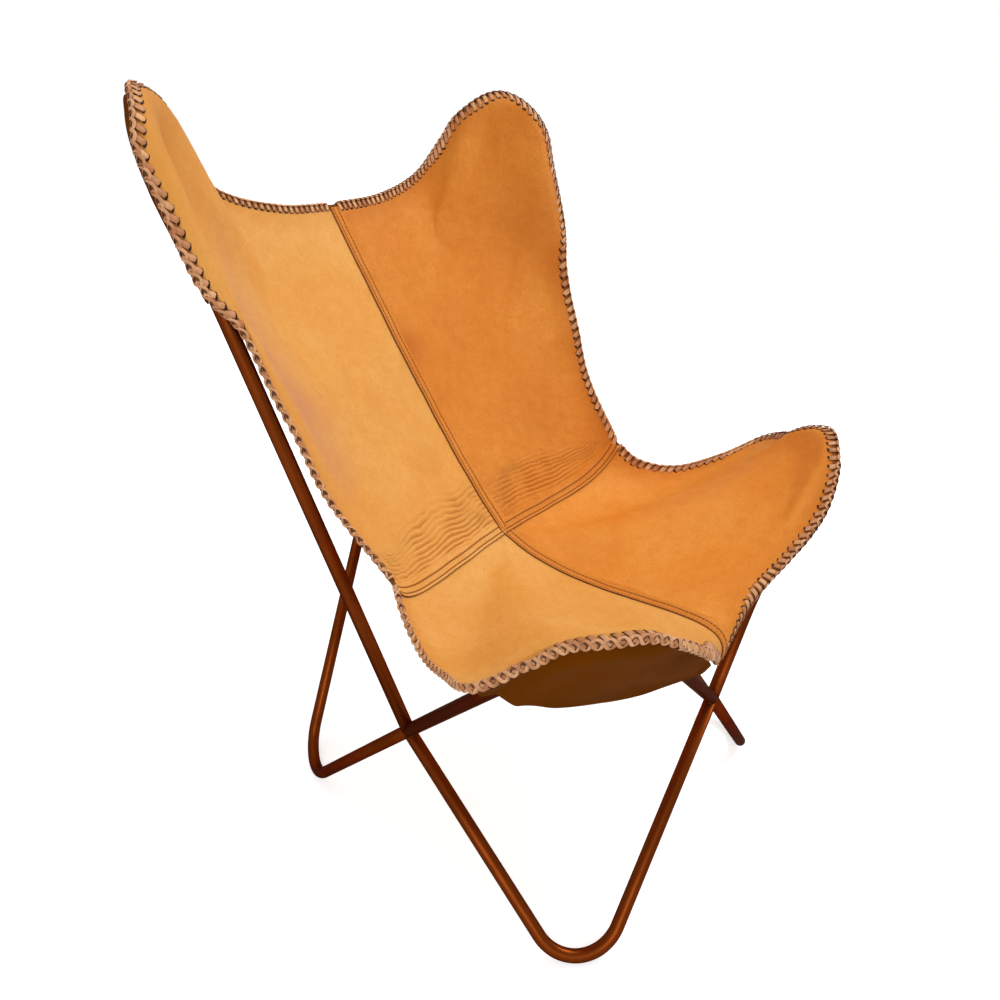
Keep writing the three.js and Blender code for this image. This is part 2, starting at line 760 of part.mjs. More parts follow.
// Finishes
const finishes = {
  tube: { color: 0x6e3312, roughness: 0.3, metalness: 0.4 },
  cross: { color: 0x8f8f8c, roughness: 0.45, metalness: 1 },
  lightTan: { color: 0xe7a35c, roughness: 0.55, metalness: 0 },
  deepTan: { color: 0xdb8836, roughness: 0.55, metalness: 0 },
  underside: { color: 0x7a4a1c, roughness: 0.85, metalness: 0 },
  lace: { color: 0xc98f62, roughness: 0.6, metalness: 0 },
};

const chair = new THREE.Group();
chair.name = 'butterfly_sling_chair';

function addPiece(name, geometry, finish) {
  const body = geometry.toNonIndexed();
  body.computeVertexNormals();
  const mesh = new THREE.Mesh(body, new THREE.MeshStandardMaterial(finishes[finish]));
  mesh.name = name;
  chair.add(mesh);
}

for (const name of Object.keys(bows)) addPiece(name, toGeometry(bowSolid(name)), 'tube');
for (const [name, joint] of Object.entries(joints)) {
  addPiece(`joint_cross_${name}`, toGeometry(crossSolid(joint)), 'cross');
}

const leather = {
  panel: ['lightTan', 'deepTan'],
  ear_pocket: ['underside', 'underside'],
  edge_lacing: ['lace', 'lace'],
};
for (const [place, panel] of Object.entries(panels)) {
  const seam = seams[place];
  const grid = panelGrid(panel, seam);
  const pocketLines = pocketGrid(panel, grid);
  const pieces = {
    panel: leatherBody(grid, panelThickness, panel.facing),
    ear_pocket: leatherBody(Object.values(pocketLines), pocketThickness, panel.facing),
    edge_lacing: laceBody(panel, grid, pocketLines),
  };
  for (const [piece, geometry] of Object.entries(pieces)) {
    const [left, right] = leather[piece];
    addPiece(`${piece}_${place}_left`, geometry, left);
    addPiece(`${piece}_${place}_right`, mirrored(geometry), right);
  }
  const inside = lineAt(panel, seam, 1 - 1 / aroundSteps);
  const lines = panel.facing > 0 ? [inside.map(onRight), inside] : [inside, inside.map(onRight)];
  addPiece(`seam_strap_${place}`, strapBody(seam, ...lines, leatherGap), 'lightTan');
}
const sideLines = [panels.front, panels.back].map((panel) => lineAt(panel, seams.side, 1 / aroundSteps));
const sideStrap = strapBody(seams.side, ...sideLines, strapWidth);
addPiece('seam_strap_left', sideStrap, 'lightTan');
addPiece('seam_strap_right', mirrored(sideStrap), 'deepTan');

// The origin is the middle of the chair's outline on the floor
const outline = new THREE.Box3().setFromObject(chair);
const middle = outline.getCenter(point(0, 0, 0));
for (const piece of chair.children) piece.geometry.translate(-middle.x, -middle.y, -outline.min.z);

export default chair;
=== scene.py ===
import json
import math
import bpy
import numpy as np
from mathutils import Matrix, Vector

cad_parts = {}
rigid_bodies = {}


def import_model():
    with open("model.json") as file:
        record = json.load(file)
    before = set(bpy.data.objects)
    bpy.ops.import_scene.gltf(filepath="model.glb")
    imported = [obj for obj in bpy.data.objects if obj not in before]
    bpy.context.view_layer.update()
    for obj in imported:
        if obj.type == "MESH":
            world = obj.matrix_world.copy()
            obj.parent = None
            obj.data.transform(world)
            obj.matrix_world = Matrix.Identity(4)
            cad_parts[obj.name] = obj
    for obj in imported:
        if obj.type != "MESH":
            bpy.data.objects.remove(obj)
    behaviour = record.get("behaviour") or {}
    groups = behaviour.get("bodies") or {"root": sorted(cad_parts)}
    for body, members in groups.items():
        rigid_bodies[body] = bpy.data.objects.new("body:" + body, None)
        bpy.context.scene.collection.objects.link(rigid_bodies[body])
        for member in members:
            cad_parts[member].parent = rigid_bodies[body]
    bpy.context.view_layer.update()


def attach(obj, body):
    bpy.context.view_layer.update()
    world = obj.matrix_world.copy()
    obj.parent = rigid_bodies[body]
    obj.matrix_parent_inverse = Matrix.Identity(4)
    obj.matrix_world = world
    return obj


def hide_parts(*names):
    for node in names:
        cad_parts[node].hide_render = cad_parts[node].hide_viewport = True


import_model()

# Butterfly chair: laced leather sling on eight bows of bent tube.
# Metres, sitter faces -Y, left half has negative X. Left pieces are made, right ones mirrored.

mm = 0.001
outlineShift = np.array([0, -3.691, 0]) * mm    # the frame stands centred on its own outline


def place(x, y, z):
    return np.array([x, y, z], float) * mm + outlineShift


tube = {
    "radius": 8.25 * mm,
    "footBend": 56 * mm,
    "earBend": 57 * mm,
    "bendSteps": 30,
    "sides": 32,
    "endRounding": 0.7 * mm,
    "sideJoint": place(-269, -22, 229),
    "frontJoint": place(0, -300, 247),
    "backJoint": place(0, 280, 362),
    "backEar": place(-376, 330, 1071),
    "frontEar": place(-367, -326, 568),
    "frontFoot": (275, -300),
    "backFoot": (219, 227),
    "footFlat": 0.5 * mm,
    "kneeShare": 0.3,
    "kneeLength": 70 * mm,
    "gap": 0.3 * mm,
}
tube["frontKnee"] = (tube["frontJoint"] + tube["kneeShare"] * (tube["frontEar"] - tube["frontJoint"])
                     + np.array([0, 11, 4]) * mm)

sling = {
    "thickness": 3 * mm,
    "pocketThickness": 2.4 * mm,
    "gap": 0.3 * mm,
    "drape": 12.6 * mm,          # tube axis to the middle of the leather that lies on it
    "laceDrape": 2 * mm,         # more where the lacing passes between tube and leather
    "drapeReach": 40 * mm,
    "earMargin": 21 * mm,
    "trim": 0.004,               # share of the way to the seat centre that the leather stops short
    "laceReach": 11 * mm,
    "wrap": {"back": 6 * mm, "front": 1.5 * mm},   # how far the ear's rim lies behind its tube's axis
    "outward": {"back": 7 * mm, "front": 0},       # how far the ear's outer rim is pulled round its tube
    "pocketClear": 10.4 * mm,    # tube axis to the middle of the pocket behind it
    "mouthInset": 32 * mm,
    "sagLean": 0.8,
    "aroundSteps": 290,
    "inwardSteps": 156,
    "inwardLean": 0.45,          # how much closer the rows lie at the seat centre than at the rim
}

# Edges of the sling as shares of the widths, depths and heights that they follow
backRimShares = [[.803, .216, .246], [.838, .323, .472], [.885, .436, .689], [.945, .522, .915],
                 [.98, .628, 1.14]]
backTopShares = [[.647, .986, 1.229], [.51, 1.009, 1.085], [.26, .994, 1.015], [0, 1, 1]]
frontRimShares = [[.73, -.093, -.318], [.811, -.242, -.398], [.907, -.408, -.125], [1, -.569, .307]]
frontEdgeShares = [[.509, -1, .25], [.345, -.956, -.307], [.164, -.889, -.852]]
sideSeamShares = [[.864, .063, -.229], [.404, .086, -.155]]
backGuideShares = [
    [[.575, .64, .554], [.778, .764, .724], [.562, .807, .666], [0, .72, .607]],
    [[.342, .231, -.009], [.342, .432, .226], [.192, .476, .255], [0, .36, .094]]]
frontGuideShares = [
    [[.68, -.292, -1], [.63, -.554, -.375], [.416, -.787, -.432], [0, -.977, -.318]],
    [[.302, -.058, -.943], [.264, -.204, -1.114], [.176, -.315, -1.341], [0, -.306, -1.545]]]
earSweepShares = [.8, 0, -.8]


# Mesh building

def unit(v):
    return v / np.maximum(np.linalg.norm(v, axis=-1, keepdims=True), 1e-12)


def gridFaces(rows, columns, closedRows=False, closedColumns=False, flip=False, start=0):
    """Quads of a rows x columns grid of points numbered row by row."""
    i = np.arange(rows if closedRows else rows - 1)[:, None]
    j = np.arange(columns if closedColumns else columns - 1)[None, :]
    a = i * columns + j
    b = ((i + 1) % rows) * columns + j
    c = ((i + 1) % rows) * columns + (j + 1) % columns
    d = i * columns + (j + 1) % columns
    quads = np.stack([a, b, c, d], -1).reshape(-1, 4) + start
    return quads[:, ::-1] if flip else quads


def addMesh(name, points, quads, slots=None, attributes=None, tris=None, smooth=True):
    """Object at the origin from arrays of points and faces, with per-point float attributes."""
    mesh = bpy.data.meshes.new(name)
    faces = [quads.reshape(-1)]
    starts = [np.arange(len(quads)) * 4]
    counts = [np.full(len(quads), 4)]
    if tris is not None and len(tris):
        faces.append(tris.reshape(-1))
        starts.append(len(quads) * 4 + np.arange(len(tris)) * 3)
        counts.append(np.full(len(tris), 3))
    mesh.vertices.add(len(points))
    mesh.vertices.foreach_set("co", np.ascontiguousarray(points, np.float32).reshape(-1))
    loops = np.concatenate(faces).astype(np.int32)
    mesh.loops.add(len(loops))
    mesh.loops.foreach_set("vertex_index", loops)
    starts = np.concatenate(starts).astype(np.int32)
    mesh.polygons.add(len(starts))
    mesh.polygons.foreach_set("loop_start", starts)
    mesh.polygons.foreach_set("use_smooth", np.full(len(starts), smooth))
    if slots is not None:
        mesh.polygons.foreach_set("material_index", slots.astype(np.int32))
    for key, values in (attributes or {}).items():
        layer = mesh.attributes.new(key, "FLOAT", "POINT")
        layer.data.foreach_set("value", np.ascontiguousarray(values, np.float32).reshape(-1))
    mesh.update(calc_edges=True)
    mesh.validate()
    piece = bpy.data.objects.new(name, mesh)
    bpy.context.scene.collection.objects.link(piece)
    return piece


# Camera, solved from the mirrored points of the frame in the photograph

camera = {
    "place": np.array([-912.2, -546.4 - 3.691, 953.6]) * mm,
    "right": (0.5630690, -0.8245076, 0.0560398),
    "down": (-0.3372177, -0.2911410, -0.8952771),
    "ahead": (0.7544783, 0.4852052, -0.4419711),
    "focalPixels": 874.75,
}


def addCamera():
    data = bpy.data.cameras.new("camera")
    data.sensor_width = 36
    data.lens = camera["focalPixels"] / 1000 * 36
    holder = bpy.data.objects.new("camera", data)
    columns = [camera["right"], [-v for v in camera["down"]], [-v for v in camera["ahead"]]]
    turn = Matrix(columns).transposed().to_4x4()
    holder.matrix_world = Matrix.Translation(Vector(camera["place"])) @ turn
    bpy.context.scene.collection.objects.link(holder)
    bpy.context.scene.camera = holder


addCamera()
print("camera placed")

# Sling surface. A panel is a fan of cubic curves from its rim to the centre of the seat.

edges = {
    "backHalfWidth": 365, "backBehind": 347, "backHeight": 774,
    "valleyHalfWidth": 272, "valleyHeight": 433,
    "frontHalfWidth": 397, "frontForward": 343, "frontHeight": 521,
    "tipForward": 297, "tipHeight": 298,
    "centreBehind": 32, "centreHeight": 375,
}
seatCentre = place(0, edges["centreBehind"], edges["centreHeight"])


def placed(shares, halfWidth, depth, high, low=edges["valleyHeight"]):
    """Shares of half width, depth and height between two levels, as points of the left half."""
    s = np.array(shares, float)
    return np.stack([-s[:, 0] * halfWidth, s[:, 1] * depth, low + s[:, 2] * (high - low)], -1) * mm \
        + outlineShift


def smoothStep(x, low, high):
    t = np.clip((x - low) / (high - low), 0, 1)
    return t * t * (3 - 2 * t)


def throughPoints(points, t):
    """Uniform Catmull-Rom curve through the points, its ends carried straight on."""
    last = len(points) - 1
    p = np.vstack([2 * points[0] - points[1], points, 2 * points[-1] - points[-2]])
    x = np.clip(t, 0, 1) * last
    k = np.minimum(x.astype(int), last - 1)
    f = (x - k)[..., None]
    before, here, there, after = p[k], p[k + 1], p[k + 2], p[k + 3]
    leave, arrive = (there - before) / 2, (after - here) / 2
    return ((2 * here - 2 * there + leave + arrive) * f ** 3
            + (3 * there - 3 * here - 2 * leave - arrive) * f ** 2 + leave * f + here)


def bowLine(startLeg, corner, endLeg, radius, steps=tube["bendSteps"]):
    """One leg's points, a round bend near the corner, the other leg's points."""
    legA, legB = unit(startLeg[-1] - corner), unit(endLeg[0] - corner)
    half = math.acos(legA @ legB) / 2
    inward = unit(legA + legB)
    centre = corner + inward * radius / math.sin(half)
    normal = unit(np.cross(legA, legB))
    sweep = math.pi / 2 - half
    angle = (sweep * np.linspace(1, -1, steps + 1))[:, None]
    bend = centre + radius * (-inward * np.cos(angle) + np.cross(normal, -inward) * np.sin(angle))
    return {"points": np.vstack([*startLeg, bend, *endLeg]), "centre": centre, "outward": -inward,
            "normal": normal, "sweep": sweep}


def earRim(bow):
    """Points of an ear's rim: a set margin outside the bend of its tube."""
    angle = (np.array(earSweepShares) * bow["sweep"])[:, None]
    way = bow["outward"] * np.cos(angle) + np.cross(bow["normal"], bow["outward"]) * np.sin(angle)
    return bow["centre"] + way * (tube["earBend"] + sling["earMargin"])


def makePanel(name, bow, rim, guides, facing, pocketSteps, pocketSag):
    toSitter = bow["normal"] * (1 if bow["normal"][2] > 0 else -1)
    outer = -unit(np.cross(bow["points"][1] - bow["points"][0], bow["normal"]))
    return {"name": name, "bow": bow, "rows": [rim, *guides], "facing": facing, "outer": outer,
            "toSitter": toSitter, "pocket": np.array(pocketSteps) / 30, "sag": pocketSag}


def guideRows(shares, halfWidth, depth, high):
    return [np.vstack([placed([seam], edges["valleyHalfWidth"], edges["backBehind"], edges["backHeight"]),
                       placed(row, halfWidth, depth, high)])
            for seam, row in zip(sideSeamShares, shares)]


valley = place(-edges["valleyHalfWidth"], 0, edges["valleyHeight"])
backSize = (edges["backHalfWidth"], edges["backBehind"], edges["backHeight"])
frontSize = (edges["frontHalfWidth"], edges["frontForward"], edges["frontHeight"])
backBow = bowLine([tube["sideJoint"]], tube["backEar"], [tube["backJoint"]], tube["earBend"])
frontBow = bowLine([tube["sideJoint"]], tube["frontEar"], [tube["frontKnee"], tube["frontJoint"]],
                   tube["earBend"])
panels = {
    "back": makePanel(
        "back", backBow,
        np.vstack([valley, placed(backRimShares, *backSize), earRim(backBow),
                   placed(backTopShares, *backSize)]),
        guideRows(backGuideShares, *backSize), -1, (10, 23), 6 * mm),
    "front": makePanel(
        "front", frontBow,
        np.vstack([valley, placed(frontRimShares, *frontSize), earRim(frontBow),
                   placed(frontEdgeShares, *frontSize),
                   place(0, -edges["tipForward"], edges["tipHeight"])]),
        guideRows(frontGuideShares, *frontSize), 1, (11, 24), 25 * mm),
}


def bare(panel, around, inward):
    """Rim, two guide rows and the seat centre, weighted as a cubic Bezier curve."""
    inward = sling["trim"] + (1 - sling["trim"]) * inward
    rest = 1 - inward
    weights = [rest ** 3, 3 * rest ** 2 * inward, 3 * rest * inward ** 2]
    total = (inward ** 3)[..., None] * seatCentre
    for weight, row in zip(weights, panel["rows"]):
        total = total + weight[..., None] * throughPoints(row, around)
    start, end = panel["pocket"]
    ear = smoothStep(around, start - .08, start + .02) * (1 - smoothStep(around, end - .02, end + .08))
    outer = smoothStep(around, start - .07, start) * (1 - smoothStep(around, start + .08, start + .17))
    pulled = (sling["outward"][panel["name"]] * outer * weights[0])[..., None] * panel["outer"]
    return total + pulled - (sling["wrap"][panel["name"]] * ear * weights[0])[..., None] * panel["toSitter"]


def overBow(panel, p, around, clearance=None):
    """Height over the bow's plane, height at which the leather clears the tube, and its hold."""
    a, b = panel["bow"]["points"][:-1], panel["bow"]["points"][1:]
    leg = b - a
    off = p[..., None, :] - a
    t = np.clip((off * leg).sum(-1) / (leg * leg).sum(-1), 0, 1)
    away = off - t[..., None] * leg
    best = (away ** 2).sum(-1).argmin(-1)
    away = np.take_along_axis(away, best[..., None, None], -2)[..., 0, :]
    height = away @ panel["toSitter"]
    flat = away - height[..., None] * panel["toSitter"]
    inside = (flat * np.cross(leg, panel["bow"]["normal"])[best]).sum(-1) > 0
    aside = np.linalg.norm(flat, axis=-1)
    step = np.minimum(around - panel["pocket"][0], panel["pocket"][1] - around) * 30
    clear = sling["drape"] + sling["laceDrape"] * (1 - np.clip(step + 1, 0, 1))
    if clearance is not None:
        clear = clearance + 0 * clear
    margin, wrap = sling["earMargin"], sling["wrap"][panel["name"]]
    touch = np.arccos(clear / math.hypot(margin, wrap)) - math.atan2(wrap, margin)
    touchAside, touchHeight = clear * np.cos(touch), clear * np.sin(touch)
    slope = (touchHeight + wrap) / (margin - touchAside)
    round_ = np.sqrt(np.maximum(clear ** 2 - aside ** 2, 0))
    crest = np.where(inside, clear, np.where(aside < touchAside, round_,
                                             np.maximum(margin - aside, 0) * slope - wrap))
    hold = np.where(inside, np.exp(-(aside / sling["drapeReach"]) ** 2), np.clip(2 - aside / margin, 0, 1))
    return height, crest, hold, inside


def softMax(x, width):
    return (x + np.sqrt(x * x + width * width)) / 2


def middleOf(panel, around, inward):
    """Middle of the leather, lifted where it goes over the tube."""
    around, inward = np.broadcast_arrays(np.asarray(around, float), np.asarray(inward, float))
    p = bare(panel, around, inward)
    height, crest, hold, _ = overBow(panel, p, around)
    return p + (hold * softMax(crest - height, 1.5 * mm))[..., None] * panel["toSitter"]


def facingOf(surface, panel, around, inward, probe=.004):
    """Unit normal towards the sitter, from differences along both parameters."""
    around, inward = np.broadcast_arrays(np.asarray(around, float), np.asarray(inward, float))
    down = np.clip(inward, probe, 1 - 4 * probe)
    across = surface(panel, np.minimum(around + probe, 1), down) \
        - surface(panel, np.maximum(around - probe, 0), down)
    along = surface(panel, around, down + probe) - surface(panel, around, down - probe)
    return unit(np.cross(across, along)) * panel["facing"]


def shareForReach(panel, around, reach, probe=.004):
    """Share of the way from rim to seat centre that lies a set distance from the rim."""
    around = np.asarray(around, float)
    zero = np.zeros_like(around)
    rim = unit(bare(panel, np.minimum(around + probe, 1), zero) - bare(panel, np.maximum(around - probe, 0), zero))
    down = bare(panel, around, zero + probe) - bare(panel, around, zero)
    return reach * probe / np.linalg.norm(np.cross(down, rim), axis=-1)


def pocketMouth(panel, around):
    """Share of the way to the pocket's mouth, a straight line across the ear, by bisection."""
    ends = bare(panel, panel["pocket"], np.zeros(2))
    across = unit(np.cross(ends[1] - ends[0], panel["toSitter"]))
    across = across * np.sign(across @ (seatCentre - ends[0]))
    near, far = np.zeros_like(around), np.ones_like(around)
    for _ in range(14):
        mid = (near + far) / 2
        short = (bare(panel, around, mid) - ends[0]) @ across < sling["mouthInset"]
        near, far = np.where(short, mid, near), np.where(short, far, mid)
    return near


def pocketOf(panel, around, inward):
    """Middle of a pocket's leather: under the panel, behind the tube, sagging to its mouth."""
    around, inward = np.broadcast_arrays(np.asarray(around, float), np.asarray(inward, float))
    under = (sling["thickness"] + sling["pocketThickness"]) / 2 + sling["gap"]
    start, end = panel["pocket"]
    across = np.clip((around - start) / (end - start), 0, 1)
    aside = np.sin(np.pi * across ** sling["sagLean"])
    down = np.sin(np.pi / 2 * np.clip(inward / pocketMouth(panel, around), 0, 1))
    p = bare(panel, around, inward) - under * facingOf(bare, panel, around, inward)
    height, crest, hold, inside = overBow(panel, p, around, sling["pocketClear"])
    p = p - (np.where(inside, 1, hold) * softMax(crest + height, 1.5 * mm))[..., None] * panel["toSitter"]
    sag = panel["sag"] * aside * down * np.where(inside, 1 - hold, 0)
    return p - sag[..., None] * np.array([0, 0, 1])


def waves(u, v, scale, seed, count=14):
    """Smooth noise from -1 to 1 or so: a sum of sine waves in random directions."""
    dice = np.random.default_rng(seed)
    total = np.zeros_like(u)
    for _ in range(count):
        turn, phase = dice.uniform(0, 2 * math.pi, 2)
        size = dice.uniform(.6, 1.7) * 2 * math.pi / scale
        total += np.sin(size * (u * math.cos(turn) + v * math.sin(turn)) + phase)
    return total / math.sqrt(count)


# Tubes. At a crossing one pair of tubes meets end to end and the other pair is coped to it.

def footCorner(halfWidth, y, legA, legB):
    """Corner of a floor bow, as far below the floor as puts the bend's underside on it."""
    depth = 0
    for _ in range(14):
        corner = place(-halfWidth, y, 0) + np.array([0, 0, depth])
        lowest = bowLine([legA], corner, [legB], tube["footBend"])["points"][:, 2].min()
        depth -= lowest - tube["radius"] + tube["footFlat"]
    return corner


def toRight(points):
    return [p * np.array([-1, 1, 1]) for p in points]


side, front, back = tube["sideJoint"], tube["frontJoint"], tube["backJoint"]
bowLegs = {
    "ear_bow_back_left": ([side], tube["backEar"], [back], tube["earBend"]),
    "ear_bow_front_left": ([front, tube["frontKnee"]], tube["frontEar"], [side], tube["earBend"]),
    "floor_bow_front_left": ([side], footCorner(*tube["frontFoot"], side, front), [front], tube["footBend"]),
    "floor_bow_back_left": ([back], footCorner(*tube["backFoot"], back, side), [side], tube["footBend"]),
}
for name in list(bowLegs):
    startLeg, corner, endLeg, bend = bowLegs[name]
    bowLegs[name.replace("left", "right")] = (toRight(endLeg[::-1]), toRight([corner])[0],
                                              toRight(startLeg[::-1]), bend)
crossings = [
    (side, ["ear_bow_front_left", "floor_bow_back_left"]),
    (toRight([side])[0], ["ear_bow_front_right", "floor_bow_back_right"]),
    (front, ["ear_bow_front_left", "floor_bow_front_right"]),
    (back, ["ear_bow_back_left", "floor_bow_back_right"]),
]


def wayFrom(name, at):
    """Direction in which a bow leaves a crossing."""
    startLeg, corner, endLeg, _ = bowLegs[name]
    legs = [[*startLeg, corner], [*endLeg[::-1], corner]]
    leg = [leg for leg in legs if np.linalg.norm(leg[0] - at) < tube["gap"]][0]
    return unit(leg[1] - leg[0])


def smoothKnee(points, knee):
    """A knee of a leg drawn as a short curve between two points on either side of it."""
    i = int(np.linalg.norm(points - knee, axis=1).argmin())
    reach = tube["kneeLength"] / 2
    a = knee + reach * unit(points[i - 1] - knee)
    b = knee + reach * unit(points[i + 1] - knee)
    t = np.linspace(0, 1, 9)[:, None]
    curve = (1 - t) ** 2 * a + 2 * t * (1 - t) * knee + t ** 2 * b
    return np.vstack([points[:i], curve, points[i + 1:]])


def endCut(ring, travel, at, name):
    """Moves the ring's points along their leg to the plane or the tube that the end meets."""
    butted = [pair for place_, pair in crossings if np.linalg.norm(place_ - at) < tube["gap"]][0]
    first, second = [wayFrom(other, at) for other in butted]
    if name in butted:
        normal = unit(first - second) * (1 if name == butted[0] else -1)
        short = tube["gap"] / 2 - (ring - at) @ normal
        return ring + (short / (travel @ normal))[..., None] * travel
    onFirst = ((ring - at) @ (first - second) > 0)[:, None]
    axis = np.where(onFirst, first, second)
    lead = travel - (axis @ travel)[:, None] * axis
    off = (ring - at) - ((ring - at) * axis).sum(-1)[:, None] * axis
    a, b = (lead * lead).sum(-1), (lead * off).sum(-1)
    c = (off * off).sum(-1) - (tube["radius"] + tube["gap"]) ** 2
    return ring + ((-b - np.sqrt(np.maximum(b * b - a * c, 0))) / a)[:, None] * travel


def tubeRings(points, normal, radius, sides):
    """Rings about a path, mitred where it turns, the normal kept as square as the path allows."""
    ways = unit(np.diff(points, axis=0))
    before, after = np.vstack([ways[:1], ways]), np.vstack([ways, ways[-1:]])
    tangent = unit(before + after)
    lift = unit(normal - (tangent @ normal)[:, None] * tangent)
    across = np.cross(lift, tangent)
    stretch = radius / (before * tangent).sum(-1)
    angle = 2 * math.pi * np.arange(sides) / sides
    return (points[:, None] + (stretch[:, None] * np.cos(angle))[..., None] * across[:, None]
            + radius * np.sin(angle)[None, :, None] * lift[:, None])


def makeBow(name):
    startLeg, corner, endLeg, bend = bowLegs[name]
    bow = bowLine(startLeg, corner, endLeg, bend)
    points = bow["points"]
    for leg in (startLeg, endLeg):
        if len(leg) > 1:
            points = smoothKnee(points, leg[1] if leg is startLeg else leg[0])
    sides, lip = tube["sides"], tube["endRounding"]
    full = tubeRings(points, bow["normal"], tube["radius"], sides)
    slim = tubeRings(points, bow["normal"], tube["radius"] - lip, sides)
    ends = []
    for index, at, inner in ((0, startLeg[0], 1), (-1, endLeg[-1], -2)):
        travel = unit(points[index] - points[inner])
        back_ = full[index] - 2 * tube["radius"] * 2 * travel
        skin = endCut(back_, travel, at, name)
        mouth = endCut(slim[index] - 4 * tube["radius"] * travel, travel, at, name)
        ends.append((mouth, skin - lip * travel))
    rings = np.concatenate([ends[0][0][None], ends[0][1][None], full[1:-1],
                            ends[1][1][None], ends[1][0][None]])
    count = len(rings)
    caps = np.stack([rings[0].mean(0), rings[-1].mean(0)])
    flat = np.vstack([rings.reshape(-1, 3), caps])
    flat[:, 2] = np.maximum(flat[:, 2], 0)
    quads = gridFaces(count, sides, closedColumns=True)
    j = np.arange(sides)
    low, high = count * sides, count * sides + 1
    last = (count - 1) * sides
    tris = np.vstack([np.stack([np.full(sides, low), (j + 1) % sides, j], -1),
                      np.stack([np.full(sides, high), last + j, last + (j + 1) % sides], -1)])
    return flat, quads, tris


def facesOut(points, quads, tris):
    """Turns all faces round if the body they close would be inside out."""
    a, b, c, d = (points[quads[:, k]] for k in range(4))
    volume = (np.cross(a, b) * c).sum() + (np.cross(a, c) * d).sum()
    return (quads, tris) if volume > 0 else (quads[:, ::-1], tris[:, ::-1])


for name in bowLegs:
    points, quads, tris = makeBow(name)
    quads, tris = facesOut(points, quads, tris)
    addMesh(name.replace("bow", "tube"), points, quads, tris=tris)
print("tubes made")

# Leather skins

def spread(count, lean):
    """Shares from 0 to 1, closer together near 0 as the lean grows."""
    s = np.linspace(0, 1, count + 1)
    return s * (1 - lean) + lean * s * s


def gridNormals(points, facing):
    """Unit normals of a grid of points from the differences along its two directions."""
    return unit(np.cross(np.gradient(points, axis=0), np.gradient(points, axis=1))) * facing


def runLength(points, axis):
    """Length travelled along one direction of a grid."""
    steps = np.linalg.norm(np.diff(points, axis=axis), axis=-1)
    pad = [(0, 0)] * steps.ndim
    pad[axis] = (1, 0)
    return np.pad(np.cumsum(steps, axis=axis), pad)


def nearest(points, others, block=400):
    """Index of the nearest of the others for each point, block by block."""
    found = []
    for start in range(0, len(points), block):
        part = points[start:start + block]
        found.append(((part[:, None] - others[None]) ** 2).sum(-1).argmin(1))
    return np.concatenate(found)


def sheetBody(top, bottom, bulge):
    """Closed body between two grids; its edge has a middle row that swells outwards."""
    rows, columns = top.shape[:2]
    number = np.arange(rows * columns).reshape(rows, columns)
    loop = np.concatenate([number[0, :-1], number[:-1, -1], number[-1, :0:-1], number[:0:-1, 0]])
    inner = np.concatenate([number[1, :-1], number[:-1, -2], number[-2, :0:-1], number[:0:-1, 1]])
    a, b = top.reshape(-1, 3), bottom.reshape(-1, 3)
    middle = (a[loop] + b[loop]) / 2
    middle = middle + bulge * unit(a[loop] - a[inner])
    size, edge = rows * columns, len(loop)
    over = np.arange(edge)
    following = (over + 1) % edge
    quads = [gridFaces(rows, columns), gridFaces(rows, columns, flip=True, start=size),
             np.stack([loop, loop[following], 2 * size + following, 2 * size + over], -1)[:, ::-1],
             np.stack([2 * size + over, 2 * size + following, size + loop[following], size + loop], -1)[:, ::-1]]
    slots = np.concatenate([np.full(len(q), k) for q, k in zip(quads, (0, 1, 2, 2))])
    return np.vstack([a, b, middle]), np.vstack(quads), slots, loop


def everywhere(values, loop):
    """A value per grid point, for the top, the bottom and the edge's middle row."""
    flat = values.reshape(-1)
    return np.concatenate([flat, flat, flat[loop]])


def panelMiddle(panel):
    around = spread(sling["aroundSteps"], 0.6)[:, None]
    lean = sling["inwardLean"]
    inward = np.linspace(0, 1, sling["inwardSteps"] + 1)[None, :]
    inward = .998 * (inward * (1 + lean) - lean * inward * inward)
    around, inward = np.broadcast_arrays(around, inward)
    return around, inward, middleOf(panel, around, inward)


skins = {}
for name, panel in panels.items():
    around, inward, middle = panelMiddle(panel)
    skins[name] = {"around": around, "inward": inward, "middle": middle,
                   "normal": gridNormals(middle, panel["facing"])}
atSide = unit(skins["back"]["normal"][0] + skins["front"]["normal"][0])
atSeat = unit((atSide[-9] + skins["back"]["normal"][-1, -9] + skins["front"]["normal"][-1, -9])
              * np.array([0, 1, 1]))
for skin in skins.values():
    n = skin["normal"]
    n[0] = atSide
    n[-1] = unit(n[-1] * np.array([0, 1, 1]))
    share = smoothStep(skin["inward"], .93, .99)[..., None]
    skin["normal"] = unit(n * (1 - share) + atSeat * share)
    skin["rim"] = runLength(skin["middle"], 1)
    flat = skin["middle"].reshape(-1, 3)
    seam = skin["middle"][0]
    near = nearest(flat, seam)
    shape = skin["around"].shape
    skin["side"] = np.linalg.norm(flat - seam[near], axis=1).reshape(shape)
    skin["alongSide"] = runLength(seam, 0)[near].reshape(shape)
    skin["seam"] = np.abs(skin["middle"][..., 0])
print("leather surfaces laid out")

wrinkle = {
    "foldHeight": {"left": 1.25 * mm, "right": 1.3 * mm},     # folds above the side seams
    "foldLength": 7.2 * mm,
    "foldBands": {"left": (5, 14, 66, 96), "right": (12, 30, 62, 92)},   # mm from the seam
    "looseHeight": 0.28 * mm,     # loose grain beside the centre seam
    "swellHeight": 0.9 * mm,      # slow unevenness of the hide
}


